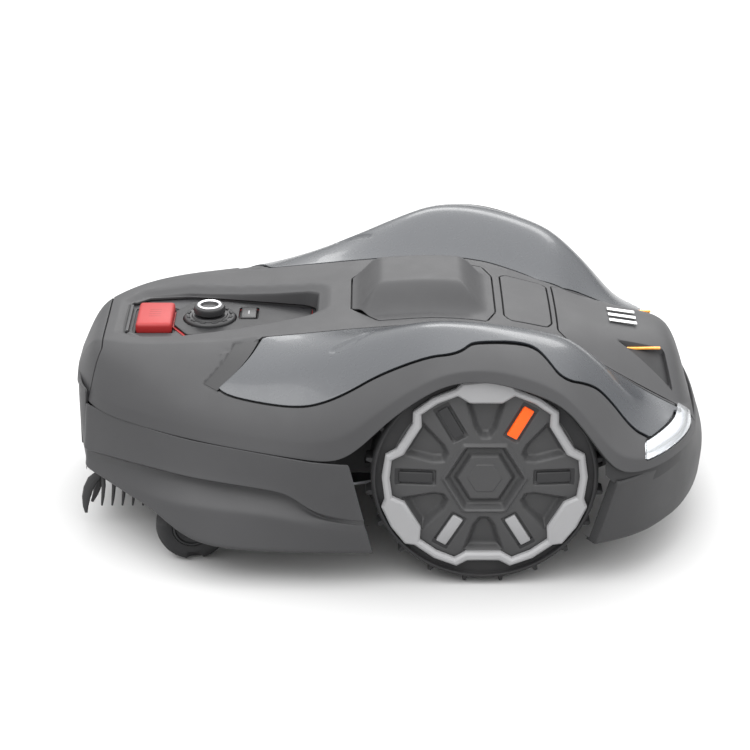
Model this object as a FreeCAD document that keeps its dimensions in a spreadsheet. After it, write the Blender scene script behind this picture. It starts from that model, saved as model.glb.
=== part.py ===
import FreeCAD, Part
import math
import os

from FreeCAD import Placement, Rotation, Vector

# Robotic lawn mower. +X is the front, +Y the left side, +Z up, millimetres.
# The origin is on the ground below the middle of the body.

doc = FreeCAD.newDocument("mower")
sheet = doc.addObject("Spreadsheet::Sheet", "Sizes")
subParts = []

SIZES = {
    "wallThickness": 3.0, "seamGap": 1.6,
    "wheelX": 92.6, "wheelZ": 122.0, "wheelInnerY": 171.0, "wheelWidth": 58.0,
    "tyreRadius": 115.0, "lugRadius": 122.0, "lugCount": 20, "lugLength": 22.0,
    "rimRadius": 92.0, "shaftRadius": 9.0, "shaftReach": 36.0, "coverRadius": 83.0,
    "ringDepth": 7.6, "insertLength": 33.0, "insertWidth": 11.5, "insertRadius": 69.0,
    "motorRadius": 30.0, "motorLength": 62.0, "motorInnerY": 98.0,
    "casterX": -209.0, "casterY": 163.5, "casterRadius": 38.0, "casterWidth": 28.0,
    "casterTrail": 4.0, "casterAxleRadius": 4.0, "stemRadius": 6.0,
    "chassisBottom": 86.0, "chassisTop": 154.0, "chassisFloor": 4.0, "lidThickness": 2.7,
    "wellRadius": 50.0, "cutterX": -60.0, "discRadius": 92.0, "discThickness": 3.0,
    "discZ": 46.0, "bladePivotRadius": 78.0, "bladeLength": 36.0, "bladeWidth": 18.0,
    "bladeThickness": 0.8, "skidRadius": 70.0, "carriageRadius": 46.0, "carriageHeight": 58.0,
    "skirtBottom": 40.0, "batteryLength": 96.0, "batteryWidth": 74.0, "batteryHeight": 54.0,
    "boardLength": 130.0, "boardWidth": 92.0, "boardThickness": 1.6,
    "trayTop": 202.0, "trayDepth": 36.0, "stopLength": 39.0, "stopWidth": 62.0, "stopHeight": 13.5,
    "keyLength": 17.0, "keyWidth": 29.0, "keyHeight": 5.0,
    "dialRadius": 28.0, "dialHeight": 9.0, "knobRadius": 17.0, "knobHeight": 8.5,
    "fingerPitch": 11.0, "fingerTip": 20.0, "headlightHeight": 10.0,
}


def fillSheet():
    for row, (alias, value) in enumerate(SIZES.items(), start=1):
        sheet.set(f"A{row}", alias)
        sheet.set(f"B{row}", str(value))
        sheet.setAlias(f"B{row}", alias)
    doc.recompute()


def size(alias):
    return float(getattr(sheet, alias))


def register(thing, label):
    thing.Label = label
    subParts.append(thing)
    return thing


def bind(thing, **expressions):
    for name, expression in expressions.items():
        thing.setExpression(name, expression)


# ---- helpers for PartDesign bodies ----

def newBody(label):
    return register(doc.addObject("PartDesign::Body", "Body_" + label), label)


def sketchOn(body, role, name, height="0"):
    plane = next(item for item in body.Origin.OriginFeatures if item.Role == role)
    sketch = body.newObject("Sketcher::SketchObject", name)
    sketch.AttachmentSupport = [(plane, "")]
    sketch.MapMode = "FlatFace"
    sketch.setExpression(".AttachmentOffset.Base.z", height)
    return sketch


def drawPolygon(sketch, points):
    corners = [Vector(x, y, 0) for x, y in points]
    for start, end in zip(corners, corners[1:] + corners[:1]):
        sketch.addGeometry(Part.LineSegment(start, end), False)


def drawCircle(sketch, x, y, radius):
    sketch.addGeometry(Part.Circle(Vector(x, y, 0), Vector(0, 0, 1), radius), False)


def pad(body, sketch, length):
    feature = body.newObject("PartDesign::Pad", "Pad")
    feature.Profile = sketch
    feature.setExpression("Length", length)
    sketch.Visibility = False
    return feature


def pocket(body, sketch, length, reversedCut=False):
    doc.recompute()
    before = body.Shape.Volume
    feature = body.newObject("PartDesign::Pocket", "Pocket")
    feature.Profile = sketch
    feature.Reversed = reversedCut
    feature.setExpression("Length", length)
    doc.recompute()
    if body.Shape.Volume > before - 0.01:
        raise RuntimeError("pocket removed nothing in " + body.Label)
    return feature


def revolve(body, profile):
    # profile points are (radius, height) and turn about the body's own Z axis
    sketch = sketchOn(body, "XZ_Plane", "Profile")
    drawPolygon(sketch, profile)
    feature = body.newObject("PartDesign::Revolution", "Revolution")
    feature.Profile = sketch
    feature.ReferenceAxis = (sketch, ["V_Axis"])
    feature.Angle = 360.0
    return feature


def polar(body, feature, count):
    doc.recompute()
    axis = next(item for item in body.Origin.OriginFeatures if item.Role == "Z_Axis")
    pattern = body.newObject("PartDesign::PolarPattern", "Polar")
    pattern.Originals = feature if isinstance(feature, list) else [feature]
    pattern.Axis = (axis, [""])
    pattern.Angle = 360.0
    pattern.Occurrences = count
    body.Tip = pattern
    doc.recompute()
    return pattern


def fitting(label, shape):
    thing = doc.addObject("Part::Feature", "Form_" + label)
    thing.Shape = shape
    return register(thing, label)


def boxPart(label, corner, spans):
    # corner and spans are expressions on the sheet
    box = doc.addObject("Part::Box", "Box_" + label)
    bind(box, Length=spans[0], Width=spans[1], Height=spans[2])
    for axis, expression in zip("xyz", corner):
        box.setExpression(f".Placement.Base.{axis}", expression)
    return register(box, label)


# ---- helpers for free shapes ----

def wire(points):
    corners = [Vector(*point) for point in points]
    return Part.makePolygon(corners + corners[:1])


def prism(points, direction, start=0.0, grow=0.0):
    # an outline in the plane across the direction, swept along it
    if direction.z:
        outline = wire([(x, y, start) for x, y in points])
    else:
        outline = wire([(x, start, z) for x, z in points])
    if grow:
        outline = outline.makeOffset2D(grow, join=2)
    return Part.Face(outline).extrude(direction)


def cylinder(radius, height, base, direction=Vector(0, 0, 1)):
    return Part.makeCylinder(radius, height, Vector(*base), direction)


def block(low, high):
    low = Vector(*low)
    high = Vector(*high)
    return Part.makeBox(high.x - low.x, high.y - low.y, high.z - low.z, low)


def mirrored(shape):
    return shape.mirror(Vector(0, 0, 0), Vector(0, 1, 0))


def onBothSides(shape):
    return Part.makeCompound([shape, mirrored(shape)])


def inset(points, distance):
    # moves an open polyline sideways, keeping one point for each point
    moved = []
    for i, point in enumerate(points):
        before = points[max(i - 1, 0)]
        after = points[min(i + 1, len(points) - 1)]
        normals = []
        for a, b in ((before, point), (point, after)):
            run = math.hypot(b[0] - a[0], b[1] - a[1])
            if run > 0:
                normals.append((-(b[1] - a[1]) / run, (b[0] - a[0]) / run))
        nx = sum(n[0] for n in normals) / len(normals)
        ny = sum(n[1] for n in normals) / len(normals)
        scale = distance / (nx * nx + ny * ny)
        moved.append((point[0] - nx * scale, point[1] - ny * scale))
    return moved


# ---- the floating cover ----

# half sections of the upper cover, each at an X: the middle, the flat's edge, the valley's edge,
# the crest, the shoulder and the lower seam, as (Y, Z)
SECTIONS = [
    (-337, [(0, 160), (12, 160), (20, 160), (30, 158), (38, 154), (45, 146)]),
    (-320, [(0, 199), (24, 199), (44, 197), (64, 188), (82, 170), (96, 145)]),
    (-300, [(0, 205), (40, 205), (64, 203), (92, 190), (108, 168), (120, 144.5)]),
    (-270, [(0, 208), (48, 208), (86, 208), (112, 196), (130, 172), (143, 144)]),
    (-225, [(0, 209), (48, 209), (95, 215), (134, 196), (156, 172), (170, 143)]),
    (-180, [(0, 212), (48, 212), (97, 218), (148, 197), (176, 172), (191, 142.5)]),
    (-135, [(0, 216), (48, 216), (97, 222), (160, 204), (193, 173), (208, 142)]),
    (-90, [(0, 223), (48, 223), (97, 226), (168, 215), (207, 178), (223, 141)]),
    (-48, [(0, 231), (48, 231), (97, 230), (170, 232), (222, 186), (234, 140)]),
    (-10, [(0, 234), (48, 234), (97, 234), (166, 250), (222, 210), (234, 187)]),
    (35, [(0, 237), (48, 237), (97, 236), (172, 267), (220, 242), (234, 222)]),
    (62, [(0, 236), (48, 236), (97, 236), (176, 268), (221, 251), (235, 233)]),
    (93, [(0, 233), (48, 233), (96, 232), (176, 265), (222, 253), (236, 234)]),
    (125, [(0, 228), (48, 228), (93, 224), (174, 258), (221, 249), (235, 226)]),
    (165, [(0, 221), (48, 219), (80, 213), (170, 248), (220, 233), (235, 211)]),
    (187, [(0, 217), (48, 215), (76, 205), (166, 240), (221, 212), (235, 188)]),
    (212, [(0, 211), (49, 208), (86, 191), (162, 220), (222, 178), (235, 150)]),
    (229, [(0, 207), (49, 204), (90, 182), (160, 198), (207, 158), (233, 131)]),
    (252, [(0, 203), (48, 200), (97, 171), (154, 163), (200, 148), (219, 126)]),
    (275, [(0, 199), (46, 196), (102, 160), (146, 152), (183, 145), (200, 125)]),
    (304, [(0, 191), (44, 188), (106, 147), (133, 146), (148, 143), (157, 124)]),
    (318, [(0, 140), (40, 139), (70, 137), (92, 134), (108, 130), (118, 123)]),
]

# ahead of this X the nose drops steeply, so its wall is measured thicker
FRONT_SLOPE = 290

NOSE_SEAM = [(172, 0), (172, 62), (185, 75), (219, 90), (281, 105), (304, 107), (330, 108)]
PANEL_TOP_SEAM = [(-137, 97), (93, 97), (125, 93), (165, 80), (176, 69), (189, 79), (220, 93),
                  (281, 108), (303, 111)]
PANEL_SIDE_SEAM = [(-180, 188), (-168, 184), (-123, 184), (-94, 186), (-73, 192), (-48, 204),
                   (-13, 226), (34, 248), (59, 252), (70, 256), (79, 260), (111, 257),
                   (141, 250), (155, 240), (168, 226), (201, 209), (218, 192), (243, 160),
                   (262, 149), (303, 149), (303, 290), (-133, 290), (-133, 226)]
CONSOLE_HALF = [(-284, 44), (-274, 55), (-225, 60), (-84, 33), (-78, 28)]
ANTENNA_HALF = [(-42, 60), (-22, 80), (92, 76), (104, 62)]
BADGE_HALF = [(119, 52), (127, 61), (158, 58), (164, 48)]


def closedPlan(half):
    return half + [(x, -y) for x, y in reversed(half) if y > 0]


def sectionWire(x, half):
    # a closed strip: over the outside from right to left, and back along the inside
    wall = size("wallThickness")
    if x > FRONT_SLOPE:
        wall *= 3
    inner = inset(half, wall)
    inner[0] = (0.0, half[0][1] - wall)
    inner[-1] = (inner[-1][0], half[-1][1])
    outside = [(-y, z) for y, z in reversed(half[1:])] + list(half)
    inside = list(reversed(inner)) + [(-y, z) for y, z in inner[1:]]
    return wire([(x, y, z) for y, z in outside + inside])


def coverShell():
    return Part.makeLoft([sectionWire(x, half) for x, half in SECTIONS], True, True)


def panelSpace(grow):
    # where one long gloss panel sits in the left half of the cover
    side = prism(PANEL_SIDE_SEAM, Vector(0, 300, 0), 0, grow)
    plan = PANEL_TOP_SEAM + [(303, 280), (-190, 280), (-190, 97)]
    return side.common(prism(plan, Vector(0, 0, 300), 60, grow))


def coverPieces():
    gap = size("seamGap")
    shell = coverShell()
    nose = closedPlan(NOSE_SEAM[1:])
    holes = [(closedPlan(ANTENNA_HALF), "antenna_box_cover"), (closedPlan(BADGE_HALF), "badge_plate"),
             (nose, "nose_cover")]
    up = Vector(0, 0, 300)
    top = shell
    for outline, label in holes:
        piece = shell.common(prism(outline, up, 100, -gap / 2))
        if label == "antenna_box_cover":
            piece = piece.fuse(antennaDome())
        if label == "nose_cover":
            piece = piece.cut(noseDucts()).cut(lightBarShape())
        fitting(label, piece)
        top = top.cut(prism(outline, up, 100, gap / 2))
    top = top.cut(prism(closedPlan(CONSOLE_HALF), up, 100))
    top = top.cut(prism(tailOutline(), up, 60, gap / 2))
    for label, turn in (("side_panel_left", lambda s: s), ("side_panel_right", mirrored)):
        fitting(label, shell.common(turn(panelSpace(-gap / 2))))
        top = top.cut(turn(panelSpace(gap / 2)))
    top = top.cut(onBothSides(headlightSpace(0.6)))
    solids = sorted(top.Solids, key=lambda solid: -solid.Volume)
    fitting("top_cover", solids[0])


def antennaDome():
    low = wire([(-30, -60, 233), (84, -60, 231), (84, 60, 231), (-30, 60, 233)])
    high = wire([(-2, -40, 259), (66, -38, 258), (66, 38, 258), (-2, 40, 259)])
    return Part.makeLoft([low, high], True, True)


def noseDucts():
    # a triangular intake scooped out of each side of the nose
    low = wire([(236, 60, 186), (292, 60, 180), (294, 92, 158), (262, 92, 164)])
    high = wire([(236, 44, 206), (292, 44, 200), (294, 88, 175), (262, 88, 181)])
    reach = block((230, 40, 150), (296, 100, 196))
    return onBothSides(Part.makeLoft([low, high], True, True).common(reach))


def headlightSpace(grow):
    outline = [(258 - grow, 194), (268, 200), (312, 126), (300, 116 - grow)]
    high = size("headlightHeight") + 2 * grow
    return prism(outline, Vector(0, 0, high), 137 - grow)


def tailOutline():
    return [(-345, -88), (-317, -88), (-306, -70), (-306, 70), (-317, 88), (-345, 88)]


def headlights():
    lens = headlightSpace(0).cut(headlightSpace(0).translated(Vector(-4, -3, 0)))
    fitting("headlight_lenses", onBothSides(lens))
    housing = prism([(266, 184), (269, 188), (302, 130), (299.5, 124)], Vector(0, 0, 9), 137.5)
    fitting("headlight_housings", onBothSides(housing))


def lightBarShape():
    return onBothSides(block((242, 47, 186), (286, 50, 189)))


def lightBars():
    fitting("light_bars", lightBarShape())


# plan outlines of the lower body's left side, front to back, at three heights
SKIRT_SEAM = [(-30, 234), (-45, 234), (-84, 229), (-123, 214), (-162, 199), (-202, 184), (-227, 170),
              (-265, 146), (-302, 116), (-317, 102)]
SKIRT_WAIST = [(-22, 234), (-45, 234), (-84, 231), (-123, 223), (-162, 212), (-202, 201), (-227, 188),
               (-265, 160), (-302, 122), (-320, 104)]
SKIRT_HEM = [(-8, 237), (-45, 237), (-84, 236), (-123, 234), (-172, 229), (-209, 217), (-233, 205),
             (-265, 166), (-303, 122), (-323, 104)]


def halfRingWire(points, height, inwards):
    outer = inset(points, inwards) if inwards else points
    closing = [(outer[-1][0], 0), (outer[0][0] + 20, 0)]
    return wire([(x, y, height) for x, y in outer + closing])


def bodySkirt():
    wall = size("wallThickness")
    hem = size("skirtBottom")
    levels = [(SKIRT_SEAM, 139.5), (SKIRT_WAIST, 92), (SKIRT_HEM, hem)]
    outer = Part.makeLoft([halfRingWire(p, z, 0) for p, z in levels], True, True)
    deeper = [(SKIRT_SEAM, 150), (SKIRT_WAIST, 92), (SKIRT_HEM, hem - 8)]
    inner = Part.makeLoft([halfRingWire(p, z, -wall) for p, z in deeper], True, True)
    half = outer.cut(inner)
    arch = prism([(-44, 145), (-16, 36), (60, 36), (60, 145)], Vector(0, 300, 0))
    # the hem rises over the caster towards the tail
    rise = prism([(-190, 20), (-190, 40), (-246, 61), (-290, 62), (-345, 68), (-345, 20)], Vector(0, 300, 0))
    half = half.cut(arch).cut(rise).cut(block((-345, -1, 20), (-300, 93, 160)))
    half = max(half.Solids, key=lambda solid: solid.Volume)
    rear = block((-324, 90.5, 68), (-319, 106, 136))
    half = half.fuse(rear).removeSplitter()
    bridge = block((-322, -91, 118), (-318, 91, 138))
    fitting("body_skirt", half.fuse(mirrored(half)).fuse(bridge))


BUMPER_TOP = [(231, 232), (250, 217), (270, 198), (291, 165), (311, 133), (322, 90), (327, 40), (328, 0)]
BUMPER_NOSE = [(218, 235), (246, 219), (270, 198), (292, 168), (312, 134), (330, 90), (339, 40), (341, 0)]
BUMPER_HEM = [(211, 233), (241, 217), (264, 200), (281, 179), (301, 153), (323, 100), (338, 38), (341, 0)]


def bumperWire(points, height, inwards):
    half = points
    if inwards:
        # the inner outline also runs back past the outer one, so the back stays open
        half = inset(points, inwards)
        half = [(half[0][0] - 40, half[0][1])] + half
    half = half[:-1] + [(half[-1][0], 0)]
    right = [(x, -y) for x, y in reversed(half[:-1])]
    return wire([(x, y, height) for x, y in half + right])


def frontBumper():
    wall = size("wallThickness")
    levels = [(BUMPER_TOP, 121.5), (BUMPER_NOSE, 84), (BUMPER_HEM, 48)]
    outer = Part.makeLoft([bumperWire(p, z, 0) for p, z in levels], True, True)
    levels = [(BUMPER_TOP, 118.5), (BUMPER_NOSE, 84), (BUMPER_HEM, 40)]
    inner = Part.makeLoft([bumperWire(p, z, wall) for p, z in levels], True, True)
    arch = prism([(150, 130), (227.5, 130), (210, 76), (207, 40), (150, 40)], Vector(0, 600, 0), -300)
    chassisRoom = block((200, -190, 100), (266, 190, 130))
    fitting("front_bumper", outer.cut(inner).cut(arch).cut(chassisRoom))


def tailPiece():
    levels = [(-334, 28, 155), (-340, 32, 138), (-341, 34, 100), (-335, 38, 62)]
    front = -326
    wires = [wire([(x, -half, z), (front, -86, z), (front, 86, z), (x, half, z)])
             for x, half, z in levels]
    body = Part.makeLoft(wires, True, True)
    for z in (84, 92, 100):
        body = body.cut(block((-342, -50, z), (-338, 50, z + 4)))
    # its upper end is the middle of the cover's rear face
    upper = coverShell().common(prism(tailOutline(), Vector(0, 0, 300), 60, -size("seamGap") / 2))
    fitting("tail_piece", body.fuse(upper))


# ---- the chassis ----

CHASSIS_HALF = [(-296, 84), (-262, 112), (-226, 140), (-219, 174), (-190, 174), (-184, 140),
                (204, 140), (248, 102), (258, 60)]
LID_HALF = [(-296, 82), (-262, 108), (-226, 138), (204, 138), (248, 100), (258, 58)]
CASTER_BOSS = 118.0


def chassisBase():
    body = newBody("chassis_base")
    outline = sketchOn(body, "XY_Plane", "Outline", "Sizes.chassisBottom")
    drawPolygon(outline, closedPlan(CHASSIS_HALF))
    pad(body, outline, "Sizes.chassisTop - Sizes.chassisBottom")
    hollow = sketchOn(body, "XY_Plane", "Hollow", "Sizes.chassisTop")
    drawPolygon(hollow, closedPlan(inset(LID_HALF, 3.2)))
    pocket(body, hollow, "Sizes.chassisTop - Sizes.chassisBottom - Sizes.chassisFloor")
    well = sketchOn(body, "XY_Plane", "Well", "Sizes.chassisTop")
    drawCircle(well, size("cutterX"), 0, size("wellRadius"))
    pocket(body, well, "200")
    for side in (1, -1):
        shoulder = sketchOn(body, "XY_Plane", "Shoulder", "Sizes.chassisTop")
        drawPolygon(shoulder, [(-240, side * 142), (-240, side * 190), (-170, side * 190),
                               (-170, side * 142)])
        pocket(body, shoulder, f"Sizes.chassisTop - {CASTER_BOSS}")
        stem = sketchOn(body, "XY_Plane", "Stem", "Sizes.chassisTop")
        drawCircle(stem, size("casterX") + size("casterTrail"), side * size("casterY"),
                   size("stemRadius") + 0.06)
        pocket(body, stem, "200")
    axle = sketchOn(body, "XZ_Plane", "AxleHole")
    drawCircle(axle, size("wheelX"), size("wheelZ"), size("motorRadius") + 0.5)
    hole = body.newObject("PartDesign::Pocket", "AxleCut")
    hole.Profile = axle
    hole.Type = 1
    hole.Midplane = True
    doc.recompute()


def chassisLid():
    body = newBody("chassis_lid")
    outline = sketchOn(body, "XY_Plane", "Outline", "Sizes.chassisTop")
    drawPolygon(outline, closedPlan(LID_HALF))
    pad(body, outline, "Sizes.lidThickness")
    well = sketchOn(body, "XY_Plane", "Well", "Sizes.chassisTop + Sizes.lidThickness")
    drawCircle(well, size("cutterX"), 0, size("wellRadius"))
    pocket(body, well, "Sizes.lidThickness")


def battery():
    boxPart("battery_pack", ("-240", "-Sizes.batteryWidth / 2", "Sizes.chassisBottom + Sizes.chassisFloor"),
            ("Sizes.batteryLength", "Sizes.batteryWidth", "Sizes.batteryHeight"))


def circuitBoard():
    boxPart("main_circuit_board", ("60", "-Sizes.boardWidth / 2", "Sizes.chassisBottom + Sizes.chassisFloor"),
            ("Sizes.boardLength", "Sizes.boardWidth", "Sizes.boardThickness"))


def wheelMotors():
    for label, side in (("left", 1), ("right", -1)):
        drum = doc.addObject("Part::Cylinder", "Drum_" + label)
        bind(drum, Radius="Sizes.motorRadius", Height="Sizes.motorLength")
        bore = doc.addObject("Part::Cylinder", "Bore_" + label)
        bind(bore, Radius="Sizes.shaftRadius + 0.06", Height="Sizes.shaftReach")
        bore.setExpression(".Placement.Base.z", "Sizes.motorLength - Sizes.shaftReach + 5")
        motor = doc.addObject("Part::Cut", "Motor_" + label)
        motor.Base = drum
        motor.Tool = bore
        motor.Placement = Placement(Vector(size("wheelX"), side * size("motorInnerY"), size("wheelZ")),
                                    outward(side))
        register(motor, "wheel_motor_" + label)


def suspensionPosts():
    posts = [cylinder(7, 20, (x, y, size("chassisTop") + size("lidThickness"))) for x in (-150, 150)
             for y in (-90, 90)]
    fitting("suspension_posts", Part.makeCompound(posts))


def fingerComb():
    # a frame below the tail with fingers that keep feet away from the blades
    tip = size("fingerTip")
    rail = block((-315, -98, 66), (-306, 98, 74))
    sideRail = block((-308, 92, 66), (-262, 98, 74))
    comb = rail.fuse(sideRail).fuse(mirrored(sideRail))
    claw = [(-315, 68), (-310, 68), (-311, 42), (-321, tip), (-325, tip), (-316, 44)]
    for i in range(-8, 9):
        y = i * size("fingerPitch")
        comb = comb.fuse(prism(claw, Vector(0, 4, 0), y - 2))
    for i in range(5):
        x = -302 + i * size("fingerPitch")
        finger = block((x - 2, 93, tip + 3), (x + 2, 97, 68))
        comb = comb.fuse(finger).fuse(mirrored(finger))
    strut = block((-314, -60, 72), (-296, -50, 96))
    comb = comb.fuse(strut).fuse(mirrored(strut))
    fitting("finger_comb", comb.removeSplitter())


def chargingContacts():
    strip = block((270, 20, 96), (306, 34, 98))
    arm = block((258, 20, 96), (272, 34, 110))
    fitting("charging_contacts", onBothSides(strip.fuse(arm)))


# ---- the control console ----

DIAL_X = -196
DECK_Z = 198.2
STOP_X = -254.5
KEY_PLACE = (-154.5, 13)
PANEL_HALF = [(-232, 18), (-217, 44), (-178, 44), (-166, 40), (-88, 25)]
TRAY_HALF = [(-288, 46), (-276, 58), (-225, 64), (-84, 37), (-74, 30)]


def consoleTray():
    body = newBody("console_tray")
    outline = sketchOn(body, "XY_Plane", "Outline", "Sizes.trayTop - Sizes.trayDepth")
    drawPolygon(outline, closedPlan(TRAY_HALF))
    pad(body, outline, "Sizes.trayDepth")
    dish = sketchOn(body, "XY_Plane", "Dish", "Sizes.trayTop")
    drawPolygon(dish, closedPlan(inset(TRAY_HALF, 4)))
    pocket(body, dish, "4")
    stopWell = sketchOn(body, "XY_Plane", "StopWell", "Sizes.trayTop")
    drawPolygon(stopWell, rectangle(STOP_X, 0, size("stopLength") + 1.2, size("stopWidth") + 1.2))
    pocket(body, stopWell, "20")
    keyWell = sketchOn(body, "XY_Plane", "KeyWell", "Sizes.trayTop")
    drawPolygon(keyWell, rectangle(*KEY_PLACE, size("keyLength") + 1, size("keyWidth") + 1))
    pocket(body, keyWell, "16")
    dialWell = sketchOn(body, "XY_Plane", "DialWell", "Sizes.trayTop")
    drawCircle(dialWell, DIAL_X, 0, 9)
    pocket(body, dialWell, "24")


def rectangle(x, y, length, width):
    return [(x - length / 2, y - width / 2), (x + length / 2, y - width / 2),
            (x + length / 2, y + width / 2), (x - length / 2, y + width / 2)]


def displayWindow():
    # one gloss panel with the display, and with holes for the dial and the start key
    panel = prism(closedPlan(PANEL_HALF), Vector(0, 0, 4.4), DECK_Z)
    key = rectangle(*KEY_PLACE, size("keyLength") + 1, size("keyWidth") + 1)
    panel = panel.cut(prism(key, Vector(0, 0, 10), DECK_Z - 2))
    panel = panel.cut(cylinder(size("dialRadius") + 0.6, 10, (DIAL_X, 0, DECK_Z - 2)))
    fitting("display_window", panel)


def stopButton():
    body = newBody("stop_button")
    outline = sketchOn(body, "XY_Plane", "Outline")
    drawPolygon(outline, rectangle(0, 0, size("stopLength"), size("stopWidth")))
    feature = pad(body, outline, "Sizes.stopHeight")
    doc.recompute()
    rounding = body.newObject("PartDesign::Fillet", "Rounding")
    edges = [f"Edge{i + 1}" for i, edge in enumerate(feature.Shape.Edges) if edge.BoundBox.ZMin > 5]
    rounding.Base = (feature, edges)
    rounding.Radius = 3.0
    body.Placement = Placement(Vector(STOP_X, 0, DECK_Z - 3.2), Rotation())


def startKey():
    body = newBody("start_key")
    outline = sketchOn(body, "XY_Plane", "Outline")
    drawPolygon(outline, rectangle(0, 0, size("keyLength"), size("keyWidth")))
    pad(body, outline, "Sizes.keyHeight + 2")
    body.Placement = Placement(Vector(*KEY_PLACE, DECK_Z - 2), Rotation())


def dial():
    base = newBody("dial_flange")
    radius = size("dialRadius")
    height = size("dialHeight")
    revolve(base, [(10.3, 0), (radius, 0), (radius, 4), (radius - 5, height), (10.3, height)])
    base.Placement = Placement(Vector(DIAL_X, 0, DECK_Z), Rotation())
    knob = newBody("dial_knob")
    outer = size("knobRadius")
    top = size("knobHeight")
    revolve(knob, [(0, -12), (8, -12), (8, 1.5), (10, 1.5), (10, 12), (outer, 12), (outer, 9 + top),
                   (outer - 3, 12 + top), (0, 12 + top)])
    knob.Placement = Placement(Vector(DIAL_X, 0, DECK_Z), Rotation())


# ---- the drive wheels, built with the axle along Z and the outer face up ----

def outward(side):
    # turns a wheel's own +Z to the left (+Y) or to the right (-Y)
    if side > 0:
        return Rotation(Vector(0, 1, 1), 180)
    return Rotation(Vector(1, 0, 0), 90)


def wheelPlacement(side):
    return Placement(Vector(size("wheelX"), side * size("wheelInnerY"), size("wheelZ")), outward(side))


def polarPoint(radius, degrees):
    turn = math.radians(degrees)
    return (radius * math.cos(turn), radius * math.sin(turn))


def tyre(label, side):
    body = newBody(label)
    width = size("wheelWidth")
    outer = size("tyreRadius")
    rim = size("rimRadius")
    revolve(body, [(rim, 2), (104, 0), (outer - 3, 1), (outer, 5), (outer, width - 6),
                   (outer - 3, width - 2), (110.5, width - 1.5), (110.5, width - 8), (rim, width - 8)])
    step = 360.0 / size("lugCount")
    lugs = []
    for row, start in ((0, 3.5), (1, 29.5)):
        middle = -90 + row * step / 2
        sketch = sketchOn(body, "XY_Plane", f"Lug{row}", str(start))
        lug = [polarPoint(outer - 2, middle - 2.6), polarPoint(size("lugRadius"), middle - 1.8),
               polarPoint(size("lugRadius"), middle + 1.8), polarPoint(outer - 2, middle + 2.6)]
        drawPolygon(sketch, lug)
        lugs.append(pad(body, sketch, "Sizes.lugLength"))
    polar(body, lugs, int(size("lugCount")))
    body.Placement = wheelPlacement(side)


def wheelRim(label, side):
    body = newBody(label)
    edge = size("rimRadius")
    top = size("wheelWidth") - 8
    revolve(body, [(size("shaftRadius"), 6), (22, 6), (22, 18), (edge - 6, 18), (edge - 6, 2),
                   (edge, 2), (edge, top), (edge - 6, top), (edge - 6, 24), (22, 24), (22, 38),
                   (size("shaftRadius"), 38)])
    body.Placement = wheelPlacement(side)


def driveShaft(label, side):
    body = newBody(label)
    outline = sketchOn(body, "XY_Plane", "Outline", "-Sizes.shaftReach")
    drawCircle(outline, 0, 0, size("shaftRadius"))
    pad(body, outline, "Sizes.shaftReach + 40")
    body.Placement = wheelPlacement(side)


def wheelCover(label, side):
    body = newBody(label)
    edge = size("coverRadius")
    revolve(body, [(0, 40.2), (60, 40.2), (edge, 45), (edge, 50), (48, 46), (38, 45), (34, 53), (0, 53)])
    doc.recompute()
    slot = sketchOn(body, "XY_Plane", "Slot", "54")
    middle = size("insertRadius")
    drawPolygon(slot, rectangle(middle, 0, size("insertLength") + 0.6, size("insertWidth") + 0.6))
    seat = pocket(body, slot, "9.5")
    polar(body, seat, 6)
    body.Placement = wheelPlacement(side)


def slotInserts(label, side, angles):
    solids = []
    length = size("insertLength")
    width = size("insertWidth")
    for angle in angles:
        bar = Part.makeBox(length, width, 4.5, Vector(size("insertRadius") - length / 2, -width / 2, 44.7))
        solids.append(bar.rotated(Vector(0, 0, 0), Vector(0, 0, 1), angle))
    inserts = fitting(label, Part.makeCompound(solids))
    inserts.Placement = wheelPlacement(side)


RING_OUTER = [(109.5, 0), (109.5, 13.5), (105.5, 17.5), (105, 31), (105, 44.5), (98, 47.7), (96, 60)]
RING_INNER = [(84.3, 0), (86.2, 12), (95, 17.6), (95, 30), (95, 42.4), (86.2, 48), (84.3, 60)]


def ringOutline(steps):
    # one sixth of the outline, mirrored into three lobes and three notches
    points = []
    for lobe in (90, 210, 330):
        points += [polarPoint(r, lobe - a) for r, a in reversed(steps[:-1])]
        points += [polarPoint(r, lobe + a) for r, a in steps[1:]]
    return points


def trimRing(label, side):
    body = newBody(label)
    outline = sketchOn(body, "XY_Plane", "Outline", "Sizes.wheelWidth - Sizes.ringDepth")
    drawPolygon(outline, ringOutline(RING_OUTER))
    drawPolygon(outline, ringOutline(RING_INNER))
    pad(body, outline, "Sizes.ringDepth")
    body.Placement = wheelPlacement(side)


def hubCap(label, side):
    body = newBody(label)
    outline = sketchOn(body, "XY_Plane", "Outline", "53")
    drawPolygon(outline, [polarPoint(26, 60 * i) for i in range(6)])
    pad(body, outline, "2")
    body.Placement = wheelPlacement(side)


def driveWheels():
    for name, side in (("left", 1), ("right", -1)):
        tyre("drive_tyre_" + name, side)
        wheelRim("wheel_rim_" + name, side)
        driveShaft("drive_shaft_" + name, side)
        wheelCover("wheel_cover_" + name, side)
        trimRing("trim_ring_" + name, side)
        slotInserts("slot_inserts_" + name, side, (0, 120, 180, 240, 300))
        slotInserts("accent_insert_" + name, side, (60,))
        hubCap("hub_cap_" + name, side)


# ---- the casters ----

def casterPlacement(side, inward):
    y = side * (size("casterY") + inward)
    return Placement(Vector(size("casterX"), y, size("casterRadius")), outward(side))


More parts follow.
